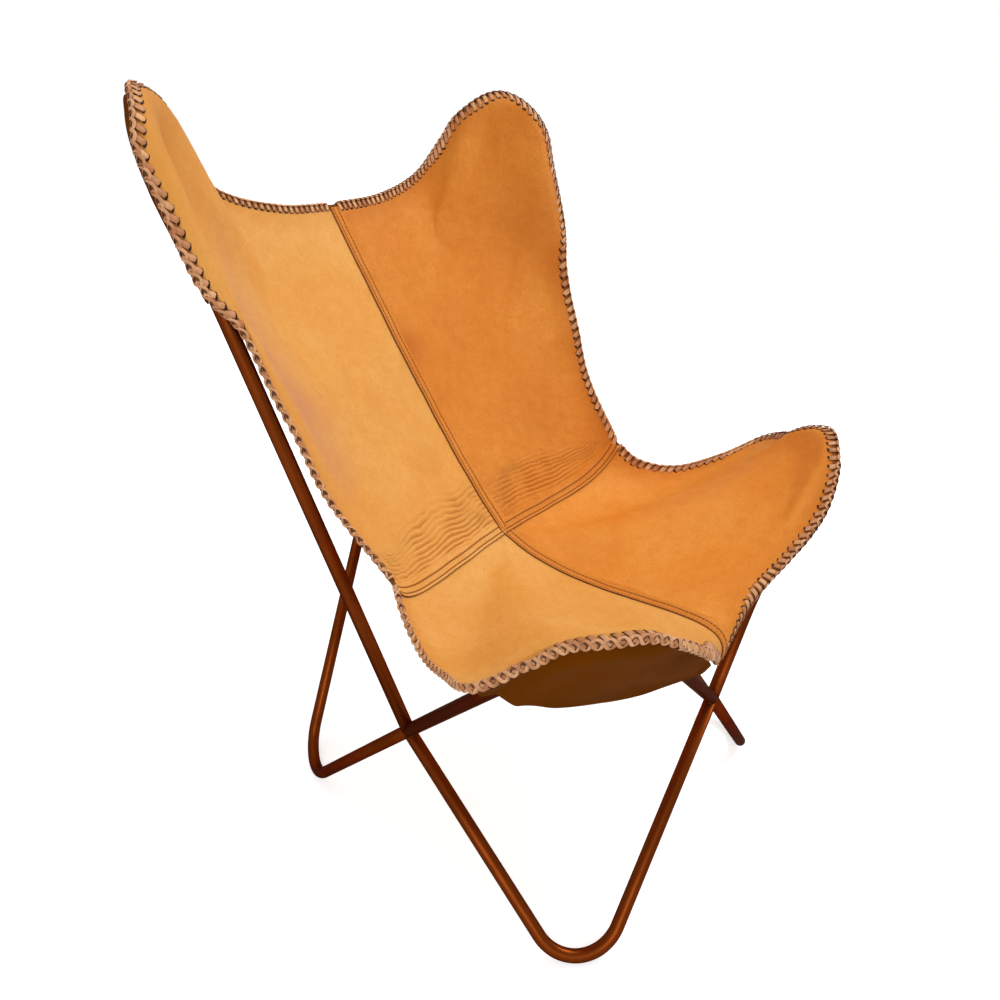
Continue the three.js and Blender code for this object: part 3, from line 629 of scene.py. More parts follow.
# Wavy ridges along the side seam: a sine of the distance from it, its phase wandering along the seam,
# packed closer at the rim and faded in and out over a band that differs between the halves
def foldsAboveSeam(skin, seed, half):
    s, u = skin["side"], skin["alongSide"]
    s = s / (.62 + .38 * smoothStep(u, 0, 200 * mm))
    drift = 2.2 * waves(u, s * .7, 130 * mm, seed) + .75 * waves(u, s, 34 * mm, seed + 1)
    length = wrinkle["foldLength"] * (1 + .05 * waves(u, s, 190 * mm, seed + 2, 6))
    ridge = np.sin(2 * math.pi * s / length + drift)
    ridge = np.sign(ridge) * np.abs(ridge) ** .8 - .35 * np.maximum(ridge, 0) ** 4
    low, risen, falling, high = np.array(wrinkle["foldBands"][half]) * mm
    band = smoothStep(s, low, risen) * (1 - smoothStep(s, falling, high))
    patchy = .5 + .5 * smoothStep(waves(u, s, 60 * mm, seed + 3, 8), -1.2, .5)
    ends = smoothStep(u, 4 * mm, 26 * mm)
    return wrinkle["foldHeight"][half] * ridge * band * patchy * ends


# Close ripples that run beside the centre seam of the back
def ripplesAtSeam(skin, seed):
    x, z = skin["seam"], skin["middle"][..., 2]
    drift = 2.6 * waves(x, z, 70 * mm, seed) + 1.1 * waves(x, z, 22 * mm, seed + 1)
    ripple = np.sin(2 * math.pi * x / (5.6 * mm) + drift)
    where = smoothStep(x, 8 * mm, 14 * mm) * (1 - smoothStep(x, 30 * mm, 62 * mm)) * (1 - smoothStep(z, .62, .76))
    return wrinkle["looseHeight"] * .8 * ripple * where


def looseGrain(skin, seed):
    """Short close ripples in the upper part of the back, strongest beside the centre seam."""
    x, z = skin["middle"][..., 0], skin["middle"][..., 2]
    drift = 3.5 * waves(x, z, 60 * mm, seed) + 1.2 * waves(x, z, 18 * mm, seed + 1)
    ripple = np.sin(2 * math.pi * (z * .8 + x * .6) / (6.5 * mm) + drift)
    where = smoothStep(z, .5, .66) * (1 - smoothStep(np.abs(x), 55 * mm, 150 * mm))
    patchy = smoothStep(waves(x, z, 55 * mm, seed + 2, 8), -.6, .9)
    return wrinkle["looseHeight"] * ripple * where * patchy


# Marks as points on the left half in mm: a roll below the left ear with a painted sheen beside it, a scratch, and
# patches made darker
marks = {
    "roll": ((-246, 296, 806), (-266, 240, 735), (-281, 195, 681), (-268, 150, 606), (-256, 105, 532), (-240, 84, 486)),
    "rollHeight": 1.8 * mm,
    "scratch": ((-207, 134, 545), (-120, 158, 548), (-23, 179, 550)),
    "patches": {  # panel and half: centre, radius, strength
        ("back", "right"): (((-12, 215, 600), 26, .8), ((-24, 42, 380), 20, .5), ((-300, 205, 735), 70, .45),
                            ((-180, 90, 480), 50, .3)),
        ("back", "left"): (((-325, 300, 930), 120, .75), ((-20, 190, 575), 30, .3)),
        ("front", "left"): (((-165, -40, 372), 60, .2),),
        ("front", "right"): (((-40, -60, 350), 60, .25),),
    },
}


# Distance to a line through points, and the side towards the middle of the chair
def offLine(middle, points):
    t = np.linspace(0, 1, 60)
    line = throughPoints(np.array(points, float), t) * mm + outlineShift
    flat = middle.reshape(-1, 3)
    near = nearest(flat, line)
    away = np.linalg.norm(flat - line[near], axis=1).reshape(middle.shape[:2])
    inner = (np.abs(line[near, 0]) - np.abs(flat[:, 0])).reshape(middle.shape[:2])
    fade = np.minimum(near, len(line) - 1 - near).reshape(middle.shape[:2]) / (.3 * len(line))
    return away, inner, np.clip(fade, 0, 1)


# Painted rosy sheen beside the roll, dark in the scratch and the patches
def paintedSheenAndMarks(name, skin, half):
    paintedSheen, shade = np.zeros(skin["around"].shape), np.zeros(skin["around"].shape)
    if (name, half) == ("back", "left"):
        away, inner, fade = offLine(skin["middle"], marks["roll"])
        width = np.where(inner > 0, 54 * mm, 9 * mm)
        # Painted sheen along the roll, wider on its inner side
        paintedSheen = np.exp(-(away / width) ** 2) * fade
        away, _, fade = offLine(skin["middle"], marks["scratch"])
        shade = .4 * np.exp(-(away / (2 * mm)) ** 2) * fade
    for centre, radius, strength in marks["patches"][name, half]:
        away = np.linalg.norm(skin["middle"] - place(*centre), axis=-1)
        shade = np.maximum(shade, strength * np.exp(-(away / (radius * mm)) ** 2))
    return paintedSheen, shade


def relief(name, skin, seed, half):
    x, y, z = (skin["middle"][..., k] for k in range(3))
    total = wrinkle["swellHeight"] * .5 * waves(x + y, z, 130 * mm, seed)
    total = total + .12 * mm * waves(x - y, z, 22 * mm, seed + 9)
    if name == "back":
        total = total + foldsAboveSeam(skin, seed + 20, half) + looseGrain(skin, seed + 40)
        if half == "left":
            away, inner, fade = offLine(skin["middle"], marks["roll"])
            width = np.where(inner > 0, 22 * mm, 11 * mm)
            total = total + ripplesAtSeam(skin, seed + 60) + marks["rollHeight"] * fade * np.exp(-(away / width) ** 2)
    calm = smoothStep(skin["rim"], 2 * mm, 22 * mm) * smoothStep(skin["seam"], 6 * mm, 16 * mm)
    return total * calm * smoothStep(skin["side"], 3 * mm, 10 * mm) * (1 - smoothStep(skin["inward"], .955, .99))


def leatherPanel(pieceName, name, seed, mirror):
    skin, side_ = skins[name], "right" if mirror else "left"
    half = sling["thickness"] / 2
    lift = half + relief(name, skin, seed, side_)
    paintedSheen, shade = paintedSheenAndMarks(name, skin, side_)
    # The folds' profile, carried to the material for painted shade in their troughs
    crease = foldsAboveSeam(skin, seed + 20, side_) / wrinkle["foldHeight"][side_] if name == "back" else 0 * shade
    edge = 1 - smoothStep(skin["rim"], 0, 1.2 * mm)
    top = skin["middle"] + (lift - .6 * mm * edge)[..., None] * skin["normal"]
    bottom = skin["middle"] - (half - .6 * mm * edge)[..., None] * skin["normal"]
    points, quads, slots, loop = sheetBody(top, bottom, .3 * mm)
    if mirror:
        points = points * np.array([-1, 1, 1])
    quads, _ = facesOut(points, quads, np.zeros((0, 3), int))
    attributes = {"rim": everywhere(skin["rim"], loop), "paintedSheen": everywhere(paintedSheen, loop),
                  "shade": everywhere(shade, loop), "crease": everywhere(crease, loop)}
    return addMesh(pieceName, points, quads, slots, attributes)


for name in panels:
    for half, mirror, seed in (("left", False, 3), ("right", True, 57)):
        leatherPanel(f"leather_{name}_{half}", name, seed + 5 * len(name), mirror)
print("panels made")


# Extra drop of each pocket's mouth (mm) at places across it, and how far its end is pulled along the mouth
pocketDrop = {
    "front": ((11, 18, 17.5, 12, 5, .5, 0, 2, 5, 7, 5.5, 0, -7), {"left": 25 * mm, "right": 14 * mm}),
    "back": ((0, 2, 3, 3, 2, 1, 0, 0, 0, 0, 0, 0, 0), {"left": 0, "right": 0}),
}


# Pocket's middle: close under the panel at the rim, then its own sagging surface, the drop added towards the mouth
def pocketSurface(panel, around, inward, half="left"):
    around, inward = np.broadcast_arrays(np.asarray(around, float), np.asarray(inward, float))
    under = (sling["thickness"] + sling["pocketThickness"]) / 2 + sling["gap"]
    share = smoothStep(inward / shareForReach(panel, around, 8 * mm), 0, 1)[..., None]
    near = middleOf(panel, around, inward) - under * facingOf(middleOf, panel, around, inward)
    start, end = panel["pocket"]
    drops, pull = pocketDrop[panel["name"]]
    across = np.clip((around - start) / (end - start), 0, 1)
    down = np.clip(inward / pocketMouth(panel, around), 0, 1) ** 1.5
    drop = throughPoints(np.array(drops, float)[:, None], across)[..., 0] * mm * down
    ends = bare(panel, panel["pocket"], np.zeros(2))
    aside = unit(ends[1] - ends[0]) * pull[half]
    free = pocketOf(panel, around, inward) - drop[..., None] * np.array([0, 0, 1]) \
        + (smoothStep(across, .62, 1) * down)[..., None] * aside
    return near * (1 - share) + free * share


pocketSize = {"aroundSteps": 130, "inwardSteps": 46, "hem": 7 * mm, "hemRise": 1.1 * mm,
              "cornerInset": 4.5 * mm}


def leatherPocket(pieceName, name, side_):
    panel = panels[name]
    start, end = panel["pocket"]
    around = np.linspace(start, end, pocketSize["aroundSteps"] + 1)[:, None]
    share = np.linspace(0, 1, pocketSize["inwardSteps"] + 1)[None, :]
    mouth = pocketMouth(panel, around[:, 0])[:, None]
    fromEnd = np.minimum(around - start, end - around) / (end - start)
    inset = shareForReach(panel, around[:, 0], pocketSize["cornerInset"])[:, None] * (1 - smoothStep(fromEnd, 0, .06))
    inward = inset + (mouth - inset) * share
    around, inward = np.broadcast_arrays(around, inward)
    middle = pocketSurface(panel, around, inward, side_)
    normal = gridNormals(middle, panel["facing"])
    half = sling["pocketThickness"] / 2
    toMouth = runLength(middle, 1)
    toMouth = toMouth[:, -1:] - toMouth
    hem = pocketSize["hemRise"] * (1 - smoothStep(toMouth, pocketSize["hem"], pocketSize["hem"] + 1.5 * mm))
    u = np.linspace(0, 1, around.shape[0])[:, None] * .4 + 0 * inward
    swell = .8 * mm * waves(u, toMouth, 90 * mm, 5)
    top = middle + (half + 0 * swell)[..., None] * normal
    bottom = middle - (half + hem + np.maximum(swell, -half * .5) * .5)[..., None] * normal
    points, quads, slots, loop = sheetBody(top, bottom, .4 * mm)
    if side_ == "right":
        points = points * np.array([-1, 1, 1])
    quads, _ = facesOut(points, quads, np.zeros((0, 3), int))
    return addMesh(pieceName, points, quads, slots, {"mouth": everywhere(toMouth, loop)})


for name in panels:
    for half in ("left", "right"):
        leatherPocket(f"pocket_{name}_{half}", name, half)
print("pockets made")

# Whipstitch lacing round the rims

lace = {
    "thickness": 1.6 * mm,
    "cover": 0.58,                 # width of a turn as a share of its pitch
    # slit to edge: sides, ears
    "reach": {"back_left": (7 * mm, 8.5 * mm), "back_right": (9 * mm, 17 * mm),
              "front_left": (10 * mm, 11 * mm), "front_right": (10.5 * mm, 11.5 * mm)},
    "overEdge": 1 * mm,           # edge of the leather to the middle of a turn
    "core": 2.2 * mm,             # thong that runs in the edge under the turns
    "underPocket": 5 * mm,
    "slant": 0.5,                 # share of the pitch that a turn moves along the rim
    "backPitches": ((0, 12.5), (.3, 14), (.5, 12.5), (.72, 10), (1, 9.5)),      # share of the rim, mm
    "frontPitches": ((0, 12), (.24, 12.5), (.36, 9.6), (.46, 10.5), (.56, 13.5), (.72, 13), (.84, 10.5), (1, 10)),
    "face": ((0, 1, -.8), (.05, .98, .35), (.16, .72, .9), (.3, .3, 1)),     # way along, reach, height
    "edge": ((.42, 62), (.5, 10), (.58, -40)),                               # way along, degrees round the edge
    "under": ((.7, .3, 1), (.84, .75, .9), (.95, .98, .35), (1, 1, -.8)),
    "slit": (0.6, 1.8 * mm, 0.9 * mm),    # half its width per width of the turn, half its height, beyond the turn
}
plait = {
    "width": (3.1 * mm, 3.9 * mm),         # along the sides, and round the ears
    "thickness": 1.3 * mm,
    "lean": 0.35,                 # radians towards the face
    "swing": 1.05,                # radians either way round the edge
    "perTurn": 10,
}


# Places along the rim, each one pitch further than the last
def rimPlaces(panel, pitches):
    fine = np.linspace(0, 1, 1600)
    travelled = runLength(middleOf(panel, fine, 0 * fine), 0)
    keys, sizes = np.array(pitches).T
    pitch = np.interp(travelled / travelled[-1], keys, sizes) * mm
    count = np.concatenate([[0], np.cumsum((1 / pitch[:-1] + 1 / pitch[1:]) / 2 * np.diff(travelled))])
    return np.interp(np.arange(.6, count[-1] - .6), count, fine)


# 1 round the ear where the pocket is laced in, 0 along the sides, smooth between
def roundEar(panel, places, soft=.02):
    start, end = panel["pocket"]
    return smoothStep(places, start - soft, start + soft / 4) * (1 - smoothStep(places, end - soft / 4, end + soft))


# Rim point, facing and outward way of the edge
def edgeFrame(panel, places):
    rim = middleOf(panel, places, 0 * places)
    n = facingOf(middleOf, panel, places, 0 * places)
    out = unit(rim - middleOf(panel, places, shareForReach(panel, places, 4 * mm)))
    return rim, n, unit(out - (out * n).sum(-1)[:, None] * n)


# Leather between the two sides of the lacing, and the pocket's part of it
def edgeThickness(panel, places):
    pocketed = roundEar(panel, places)
    return sling["thickness"], (sling["gap"] + sling["pocketThickness"]) * pocketed


# Share of the way inwards at a set distance from the rim along the draped leather, in a few rounds of correction
def shareAtReach(panel, around, reach, rounds=3):
    share = shareForReach(panel, around, reach)
    steps = np.linspace(0, 1, 9)
    for _ in range(rounds):
        line = middleOf(panel, around[:, None], share[:, None] * steps)
        share = share * reach / runLength(line, 1)[:, -1]
    return share


# Centre line and outward way of each turn: from its upper slit over the edge to the lower one
def lacePoints(panel, places, reaches, seed):
    dice = np.random.default_rng(seed)
    step = np.gradient(places)
    jitter = 1 + .05 * dice.standard_normal(len(places))
    ear = roundEar(panel, places, .05)
    reachTop = (reaches[0] + (reaches[1] - reaches[0]) * ear) * jitter
    reachUnder = reachTop * (1 - roundEar(panel, places)) + lace["underPocket"] * roundEar(panel, places)
    centres, ways = [], []
    for side_, stations in ((1, lace["face"]), (0, lace["edge"]), (-1, lace["under"])):
        for station in stations:
            a = np.clip(places + lace["slant"] * step * (station[0] - .5), 0, 1)
            thick, more = edgeThickness(panel, a)
            if side_ == 0:
                rim, n, out = edgeFrame(panel, a)
                turn = math.radians(station[1])
                way = out * math.cos(turn) + n * math.sin(turn)
                rise = ((thick + more) / 2 + lace["thickness"] / 2) * math.sin(turn)
                centre = rim + n * (rise - more / 2)[:, None] + out * (lace["overEdge"] * math.cos(turn))
            else:
                share = shareAtReach(panel, a, station[1] * (reachTop if side_ > 0 else reachUnder))
                n = facingOf(middleOf, panel, a, share)
                lift = thick / 2 + lace["thickness"] / 2 * station[2] + (0 if side_ > 0 else more)
                way = n * side_
                centre = middleOf(panel, a, share) + way * np.broadcast_to(lift, a.shape)[:, None]
            centres.append(centre)
            ways.append(way)
    return np.stack(centres, 1), np.stack(ways, 1)


# Two strands that swing round the edge in turn: the angle round it is a cosine of the way along,
# and each lies over the other on its way down
def plaitPoints(panel, places, strand):
    turn = np.arange((len(places) - 1) * plait["perTurn"] + 1) / plait["perTurn"]
    a = np.interp(turn, np.arange(len(places)), places)
    rim, n, out = edgeFrame(panel, a)
    thick, more = edgeThickness(panel, a)
    phase = math.pi * (turn + strand)
    angle = (plait["lean"] + plait["swing"] * np.cos(phase))[:, None]
    way = out * np.cos(angle) + n * np.sin(angle)
    lift = plait["thickness"] * (.5 + .45 * np.sin(phase)) + lace["thickness"] / 2
    rise = ((thick + more) / 2 + lace["thickness"] / 2 + lift)[:, None] * np.sin(angle) - (more / 2)[:, None]
    beyond = (lace["overEdge"] + lift)[:, None] * np.cos(angle)
    ear = roundEar(panel, a, .05)
    return (rim + n * rise + out * beyond, way,
            plait["width"][0] + (plait["width"][1] - plait["width"][0]) * ear, turn)


# Flat thongs with rounded borders: one six-sided tube per line of centres
def ribbons(centres, ways, width, thickness, tone, taper):
    count, stations = centres.shape[:2]
    tangent = unit(np.gradient(centres, axis=1))
    across = unit(np.cross(tangent, ways))
    up = np.cross(across, tangent)
    shape = np.array([[-.5, -.05], [-.4, .5], [.4, .5], [.5, -.05], [.36, -.5], [-.36, -.5]])
    wide = np.broadcast_to(width, (count, stations)) * taper
    rings = (centres[:, :, None] + (wide[:, :, None] * shape[:, 0])[..., None] * across[:, :, None]
             + (shape[:, 1] * thickness)[None, None, :, None] * up[:, :, None])
    one = gridFaces(stations, 6, closedColumns=True)
    ends = np.array([[3, 2, 1, 0], [5, 4, 3, 0]])
    one = np.vstack([one, ends, ends[:, ::-1] + (stations - 1) * 6])
    quads = (one[None] + (np.arange(count) * stations * 6)[:, None, None]).reshape(-1, 4)
    # Border weights round the thong's six-sided section, for painted shade at its sides and underneath
    border = np.tile(np.array([1., .15, .15, 1., .6, .6]), count * stations)
    return (rings.reshape(-1, 3), quads, border, np.repeat(np.broadcast_to(tone, (count, stations)).reshape(-1), 6),
            np.zeros(count * stations * 6))


# Slits that the turns go into, painted dark as the shade inside them: flat eight-sided lozenges let into the leather
def slits(panel, places, width, reach, side_, seed):
    share = shareAtReach(panel, places, reach + lace["slit"][2])
    n = facingOf(middleOf, panel, places, share)
    rim, _, out = edgeFrame(panel, places)
    along_ = unit(np.cross(n, out))
    inwardWay = np.cross(n, along_)
    centre = middleOf(panel, places, share) + n * (side_ * (sling["thickness"] / 2 + .16 * mm))
    angle = 2 * math.pi * np.arange(8) / 8
    ring = (centre[:, None] + (np.cos(angle)[None, :, None] * (width * lace["slit"][0])[:, None, None]) * along_[:, None]
            + (np.sin(angle) * lace["slit"][1])[None, :, None] * inwardWay[:, None])
    both = np.stack([ring, ring - n[:, None] * side_ * .7 * mm], 1)
    lid = np.array([[0, 1, 2, 3], [0, 3, 4, 7], [4, 5, 6, 7]])
    j = np.arange(8)
    wall = np.stack([j, (j + 1) % 8, 8 + (j + 1) % 8, 8 + j], -1)[:, ::-1]
    one = np.vstack([lid, lid[:, ::-1] + 8, wall])
    if side_ < 0:
        one = one[:, ::-1]
    quads = (one[None] + (np.arange(len(places)) * 16)[:, None, None]).reshape(-1, 4)
    size = len(places) * 16
    return both.reshape(-1, 3), quads, np.ones(size), np.zeros(size), np.ones(size)


def makeLacing(pieceName, name, half):
    panel = panels[name]
    reaches, mirror = lace["reach"][f"{name}_{half}"], half == "right"
    places = rimPlaces(panel, lace[f"{name}Pitches"])
    rim = middleOf(panel, places, 0 * places)
    pitch = np.linalg.norm(np.gradient(rim, axis=0), axis=1)
    width = lace["cover"] * pitch
    centres, ways = lacePoints(panel, places, reaches, 11)
    ends = np.ones(centres.shape[1])
    ends[[0, -1]], ends[[1, -2]] = .8, .95
    dice = np.random.default_rng(7)
    parts = [ribbons(centres, ways, width[:, None], lace["thickness"], dice.uniform(0, 1, (len(places), 1)), ends)]
    for strand in (0, 1):
        line, way, wide, turn = plaitPoints(panel, places, strand)
        tone = .5 + .35 * np.sin(turn * 2.1 + strand * 2) + .15 * np.sin(turn * 5.3)
        parts.append(ribbons(line[None], way[None], wide[None], plait["thickness"], tone[None], 1))
    rim, n, out = edgeFrame(panel, places)
    thick, more = edgeThickness(panel, places)
    core = rim + out * (.5 * lace["overEdge"]) - n * (more / 2)[:, None]
    parts.append(ribbons(core[None], out[None], (thick + more + lace["thickness"])[None], lace["core"], np.zeros((1, 1)), 1))
    # The core is painted dark as the shade under the turns
    parts[-1] = (*parts[-1][:4], np.full(len(parts[-1][0]), .75))
    step = np.gradient(places)
    ear = roundEar(panel, places, .05)
    reach = reaches[0] + (reaches[1] - reaches[0]) * ear
    parts.append(slits(panel, np.clip(places - .5 * lace["slant"] * step, 0, 1), width, reach, 1, 3))
    bareEdge = roundEar(panel, places) < .01
    lower = np.clip(places + .5 * lace["slant"] * step, 0, 1)
    parts.append(slits(panel, lower[bareEdge], width[bareEdge], reach[bareEdge], -1, 3))
    starts = np.cumsum([0] + [len(part[0]) for part in parts[:-1]])
    points = np.concatenate([part[0] for part in parts]) * (np.array([-1, 1, 1]) if mirror else 1)
    quads = np.concatenate([part[1] + start for part, start in zip(parts, starts)])
    border, tone, shadeInLacing = (np.concatenate([part[k] for part in parts]) for k in (2, 3, 4))
    quads, _ = facesOut(points, quads, np.zeros((0, 3), int))
    return addMesh(pieceName, points, quads, attributes={"border": border, "tone": tone, "shadeInLacing": shadeInLacing})


for name in panels:
    for half in ("left", "right"):
        makeLacing(f"lacing_{name}_{half}", name, half)
print("lacing made")

# Lapped seams: the upper leather's cut edge, and two rows of stitches through the lap

lap = {
    "overhang": 7.5 * mm,         # cut edge to seam line
    "reach": 17 * mm,             # seam line to where the lap has thinned out
    "thickness": 1.9 * mm,
    "rows": (5.5 * mm, 13.5 * mm),
    "groove": 0.45 * mm,
    "steps": 220,
    "across": 30,
}
thread = {"pitch": 5.2 * mm, "length": 3.7 * mm, "radius": 0.55 * mm}


def seamFrame(points, normals, first):
    """Evenly spaced points of a seam, with its normal and the way across it."""
    travelled = runLength(points, 0)
    even = np.linspace(first, travelled[-1], lap["steps"] + 1)
    p = np.stack([np.interp(even, travelled, points[:, k]) for k in range(3)], -1)
    n = unit(np.stack([np.interp(even, travelled, normals[:, k]) for k in range(3)], -1))
    tangent = unit(np.gradient(p, axis=0))
    n = unit(n - (n * tangent).sum(-1)[:, None] * tangent)
    return p, n, np.cross(n, tangent), even


def dropOn(points, along_, skinPoints, skinNormals):
    """Moves points along a direction each onto the plane of the nearest place on a skin."""
    i = nearest(points, skinPoints)
    n = skinNormals[i]
    height = ((skinPoints[i] - points) * n).sum(-1) / np.maximum((along_ * n).sum(-1), .3)
    return points + np.clip(height, -6 * mm, 6 * mm)[:, None] * along_


def skinAround(parts, places, margin=34 * mm):
    """Points and normals of the leather's upper side near a line."""
    found, turned = [], []
    for name, mirror in parts:
        skin = skins[name]
        p = skin["middle"] + skin["normal"] * sling["thickness"] / 2
        n = skin["normal"]
        flip = np.array([-1, 1, 1]) if mirror else np.ones(3)
        p, n = (p * flip).reshape(-1, 3), (n * flip).reshape(-1, 3)
        close = np.linalg.norm(p - places[::6][nearest(p, places[::6])], axis=1) < margin
        found.append(p[close])
        turned.append(n[close])
    return np.concatenate(found), np.concatenate(turned)


def makeLap(pieceName, points, normals, parts, first, cutSide, seed):
    """Lap's upper side: full thickness at the cut edge, thinning out behind the second row."""
    p, n, across, even = seamFrame(points, normals, first)
    across = across * cutSide
    off = np.concatenate([[0, 0], np.linspace(0, 1, lap["across"] - 1)[1:]]) * (lap["overhang"] + lap["reach"])
    rise = lap["thickness"] * (1 - .55 * smoothStep(off, 0, lap["rows"][0]))
    rise = rise * (1 - smoothStep(off, lap["rows"][1], lap["overhang"] + lap["reach"] - 1 * mm)) - .12 * mm
    for row in lap["rows"]:
        rise = rise - lap["groove"] * np.exp(-((off - row) / (.9 * mm)) ** 2)
        rise = rise + .3 * mm * np.exp(-((off - row) / (2.6 * mm)) ** 2)
    rise[0] = -.5 * mm
    wander = .5 * mm * waves(even, 0 * even, 90 * mm, seed)
    side_ = lap["overhang"] + wander[:, None] - off[None, :]
    base = p[:, None] + side_[..., None] * across[:, None]
    way = np.broadcast_to(n[:, None], base.shape).reshape(-1, 3)
    skinPoints, skinNormals = skinAround(parts, p)
    base = dropOn(base.reshape(-1, 3), way, skinPoints, skinNormals)
    top = (base + (np.tile(rise, len(p)))[:, None] * way).reshape(len(p), -1, 3)
    bottom = (base - .8 * mm * way).reshape(len(p), -1, 3)
    bodyPoints, quads, slots, loop = sheetBody(top, bottom, 0)
    quads, _ = facesOut(bodyPoints, quads, np.zeros((0, 3), int))
    edge = everywhere(np.tile(off, (len(p), 1)), loop)
    rimward = everywhere(np.tile(even[:, None], (1, len(off))), loop)
    addMesh(pieceName, bodyPoints, quads, slots, {"cut": edge, "along": rimward})
    return top, off, even, n


def makeThread(pieceName, rows):
    """Stitches: short four-sided pins sunk at both ends, one after another along each row."""
    centres, ups = [], []
    for line, normal, travelled in rows:
        starts = np.arange(travelled[0] + 3 * mm, travelled[-1] - 4 * mm, thread["pitch"])
        t = starts[:, None] + np.array([-.08, .14, .5, .86, 1.08])[None] * thread["length"]
        dip = np.array([-1.0, -.1, .35, -.1, -1.0]) * thread["radius"]
        p = np.stack([np.interp(t, travelled, line[:, k]) for k in range(3)], -1)
        n = unit(np.stack([np.interp(t, travelled, normal[:, k]) for k in range(3)], -1))
        centres.append(p + dip[None, :, None] * n)
        ups.append(n)
    centres, ups = np.concatenate(centres), np.concatenate(ups)
    tangent = unit(np.gradient(centres, axis=1))
    across = unit(np.cross(tangent, ups))
    size = np.array([.5, 1, 1, 1, .5])[None, :, None, None] * thread["radius"]
    ring = np.array([[1, 0], [0, 1], [-1, 0], [0, -1]])
    points = centres[:, :, None] + size * (ring[None, None, :, :1] * across[:, :, None]
                                           + ring[None, None, :, 1:] * ups[:, :, None])
    one = gridFaces(5, 4, closedColumns=True)
    one = np.vstack([one, [[0, 1, 2, 3]], [[19, 18, 17, 16]]])
    quads = (one[None] + (np.arange(len(centres)) * 20)[:, None, None]).reshape(-1, 4)
    points = points.reshape(-1, 3)
    quads, _ = facesOut(points, quads, np.zeros((0, 3), int))
    addMesh(pieceName, points, quads)


mirrorRow = np.array([-1, 1, 1])
seamJobs = {
    # name: seam points and normals from rim to seat centre, panels either side, side of the cut edge
    "back": (skins["back"], -1, [("back", False), ("back", True)], -1),
    "front": (skins["front"], -1, [("front", False), ("front", True)], 1),
    "left": (skins["back"], 0, [("back", False), ("front", False)], -1),
    "right": (skins["back"], 0, [("back", True), ("front", True)], 1),
}
for name, (skin, column, parts, cutSide) in seamJobs.items():
    flip = mirrorRow if name == "right" else np.ones(3)
    line, normal = skin["middle"][column] * flip, skin["normal"][column] * flip
    line = line + normal * sling["thickness"] / 2
    top, off, even, n = makeLap(f"seam_{name}", line, normal, parts, 4 * mm, cutSide, 4)
    rows = []
    for row in lap["rows"]:
        k = int(np.abs(off[1:] - row).argmin()) + 1
        rows.append((top[:, k], n, even))
    makeThread(f"stitching_{name}", rows)
print("seams made")

# Materials. Patterns read Object coordinates in metres, or the pieces' own distances.

def newMaterial(name):
    material = bpy.data.materials.new(name)
    material.use_nodes = True
    material.node_tree.nodes.clear()
    return material, material.node_tree


def addNode(tree, kind, inputs=None, **settings):
    node = tree.nodes.new("ShaderNode" + kind)
    for key, value in settings.items():
        setattr(node, key, value)
    for key, value in (inputs or {}).items():
        if isinstance(value, bpy.types.NodeSocket):
            tree.links.new(value, node.inputs[key])
        else:
            node.inputs[key].default_value = value
    return node


def linear(rgb):
    """Screen colour 0 to 255 as linear light."""
    c = np.array(rgb, float) / 255
    return (*np.where(c <= .04045, c / 12.92, ((c + .055) / 1.055) ** 2.4), 1)


def math2(tree, operation, a, b=0.0, clamp=False):
    return addNode(tree, "Math", {0: a, 1: b}, operation=operation, use_clamp=clamp).outputs[0]


def ramp(tree, value, low, high, toLow=0.0, toHigh=1.0):
    return addNode(tree, "MapRange", {0: value, 1: low, 2: high, 3: toLow, 4: toHigh},
                   interpolation_type="SMOOTHSTEP").outputs[0]


def mixed(tree, share, a, b, blend="MIX"):
    node = addNode(tree, "Mix", data_type="RGBA", blend_type=blend)
    for socket, value in ((node.inputs["Factor"], share), (node.inputs[6], a), (node.inputs[7], b)):
        if isinstance(value, bpy.types.NodeSocket):
            tree.links.new(value, socket)
        else:
            socket.default_value = value
    return node.outputs[2]


def noise(tree, where, scale, detail=3.0, rough=.5, distortion=0.0):
    return addNode(tree, "TexNoise", {"Vector": where, "Scale": scale, "Detail": detail,
                                      "Roughness": rough, "Distortion": distortion}).outputs[0]


def bumped(tree, height, distance, strength=1.0, normal=None):
    inputs = {"Height": height, "Distance": distance, "Strength": strength}
    if normal is not None:
        inputs["Normal"] = normal
    return addNode(tree, "Bump", inputs).outputs[0]


def finish(tree, colour, roughness, normal=None, metallic=0.0, specular=.5, coat=0.0, coatRoughness=.1,
           specularTint=(255, 255, 255)):
    shader = addNode(tree, "BsdfPrincipled", {"Base Color": colour, "Roughness": roughness,
                                              "Metallic": metallic, "Specular IOR Level": specular,
                                              "Specular Tint": linear(specularTint),
                                              "Coat Weight": coat, "Coat Roughness": coatRoughness})
    if normal is not None:
        tree.links.new(normal, shader.inputs["Normal"])
    out = addNode(tree, "OutputMaterial")
    tree.links.new(shader.outputs[0], out.inputs[0])


def attribute(tree, name):
    return addNode(tree, "Attribute", attribute_name=name).outputs["Fac"]


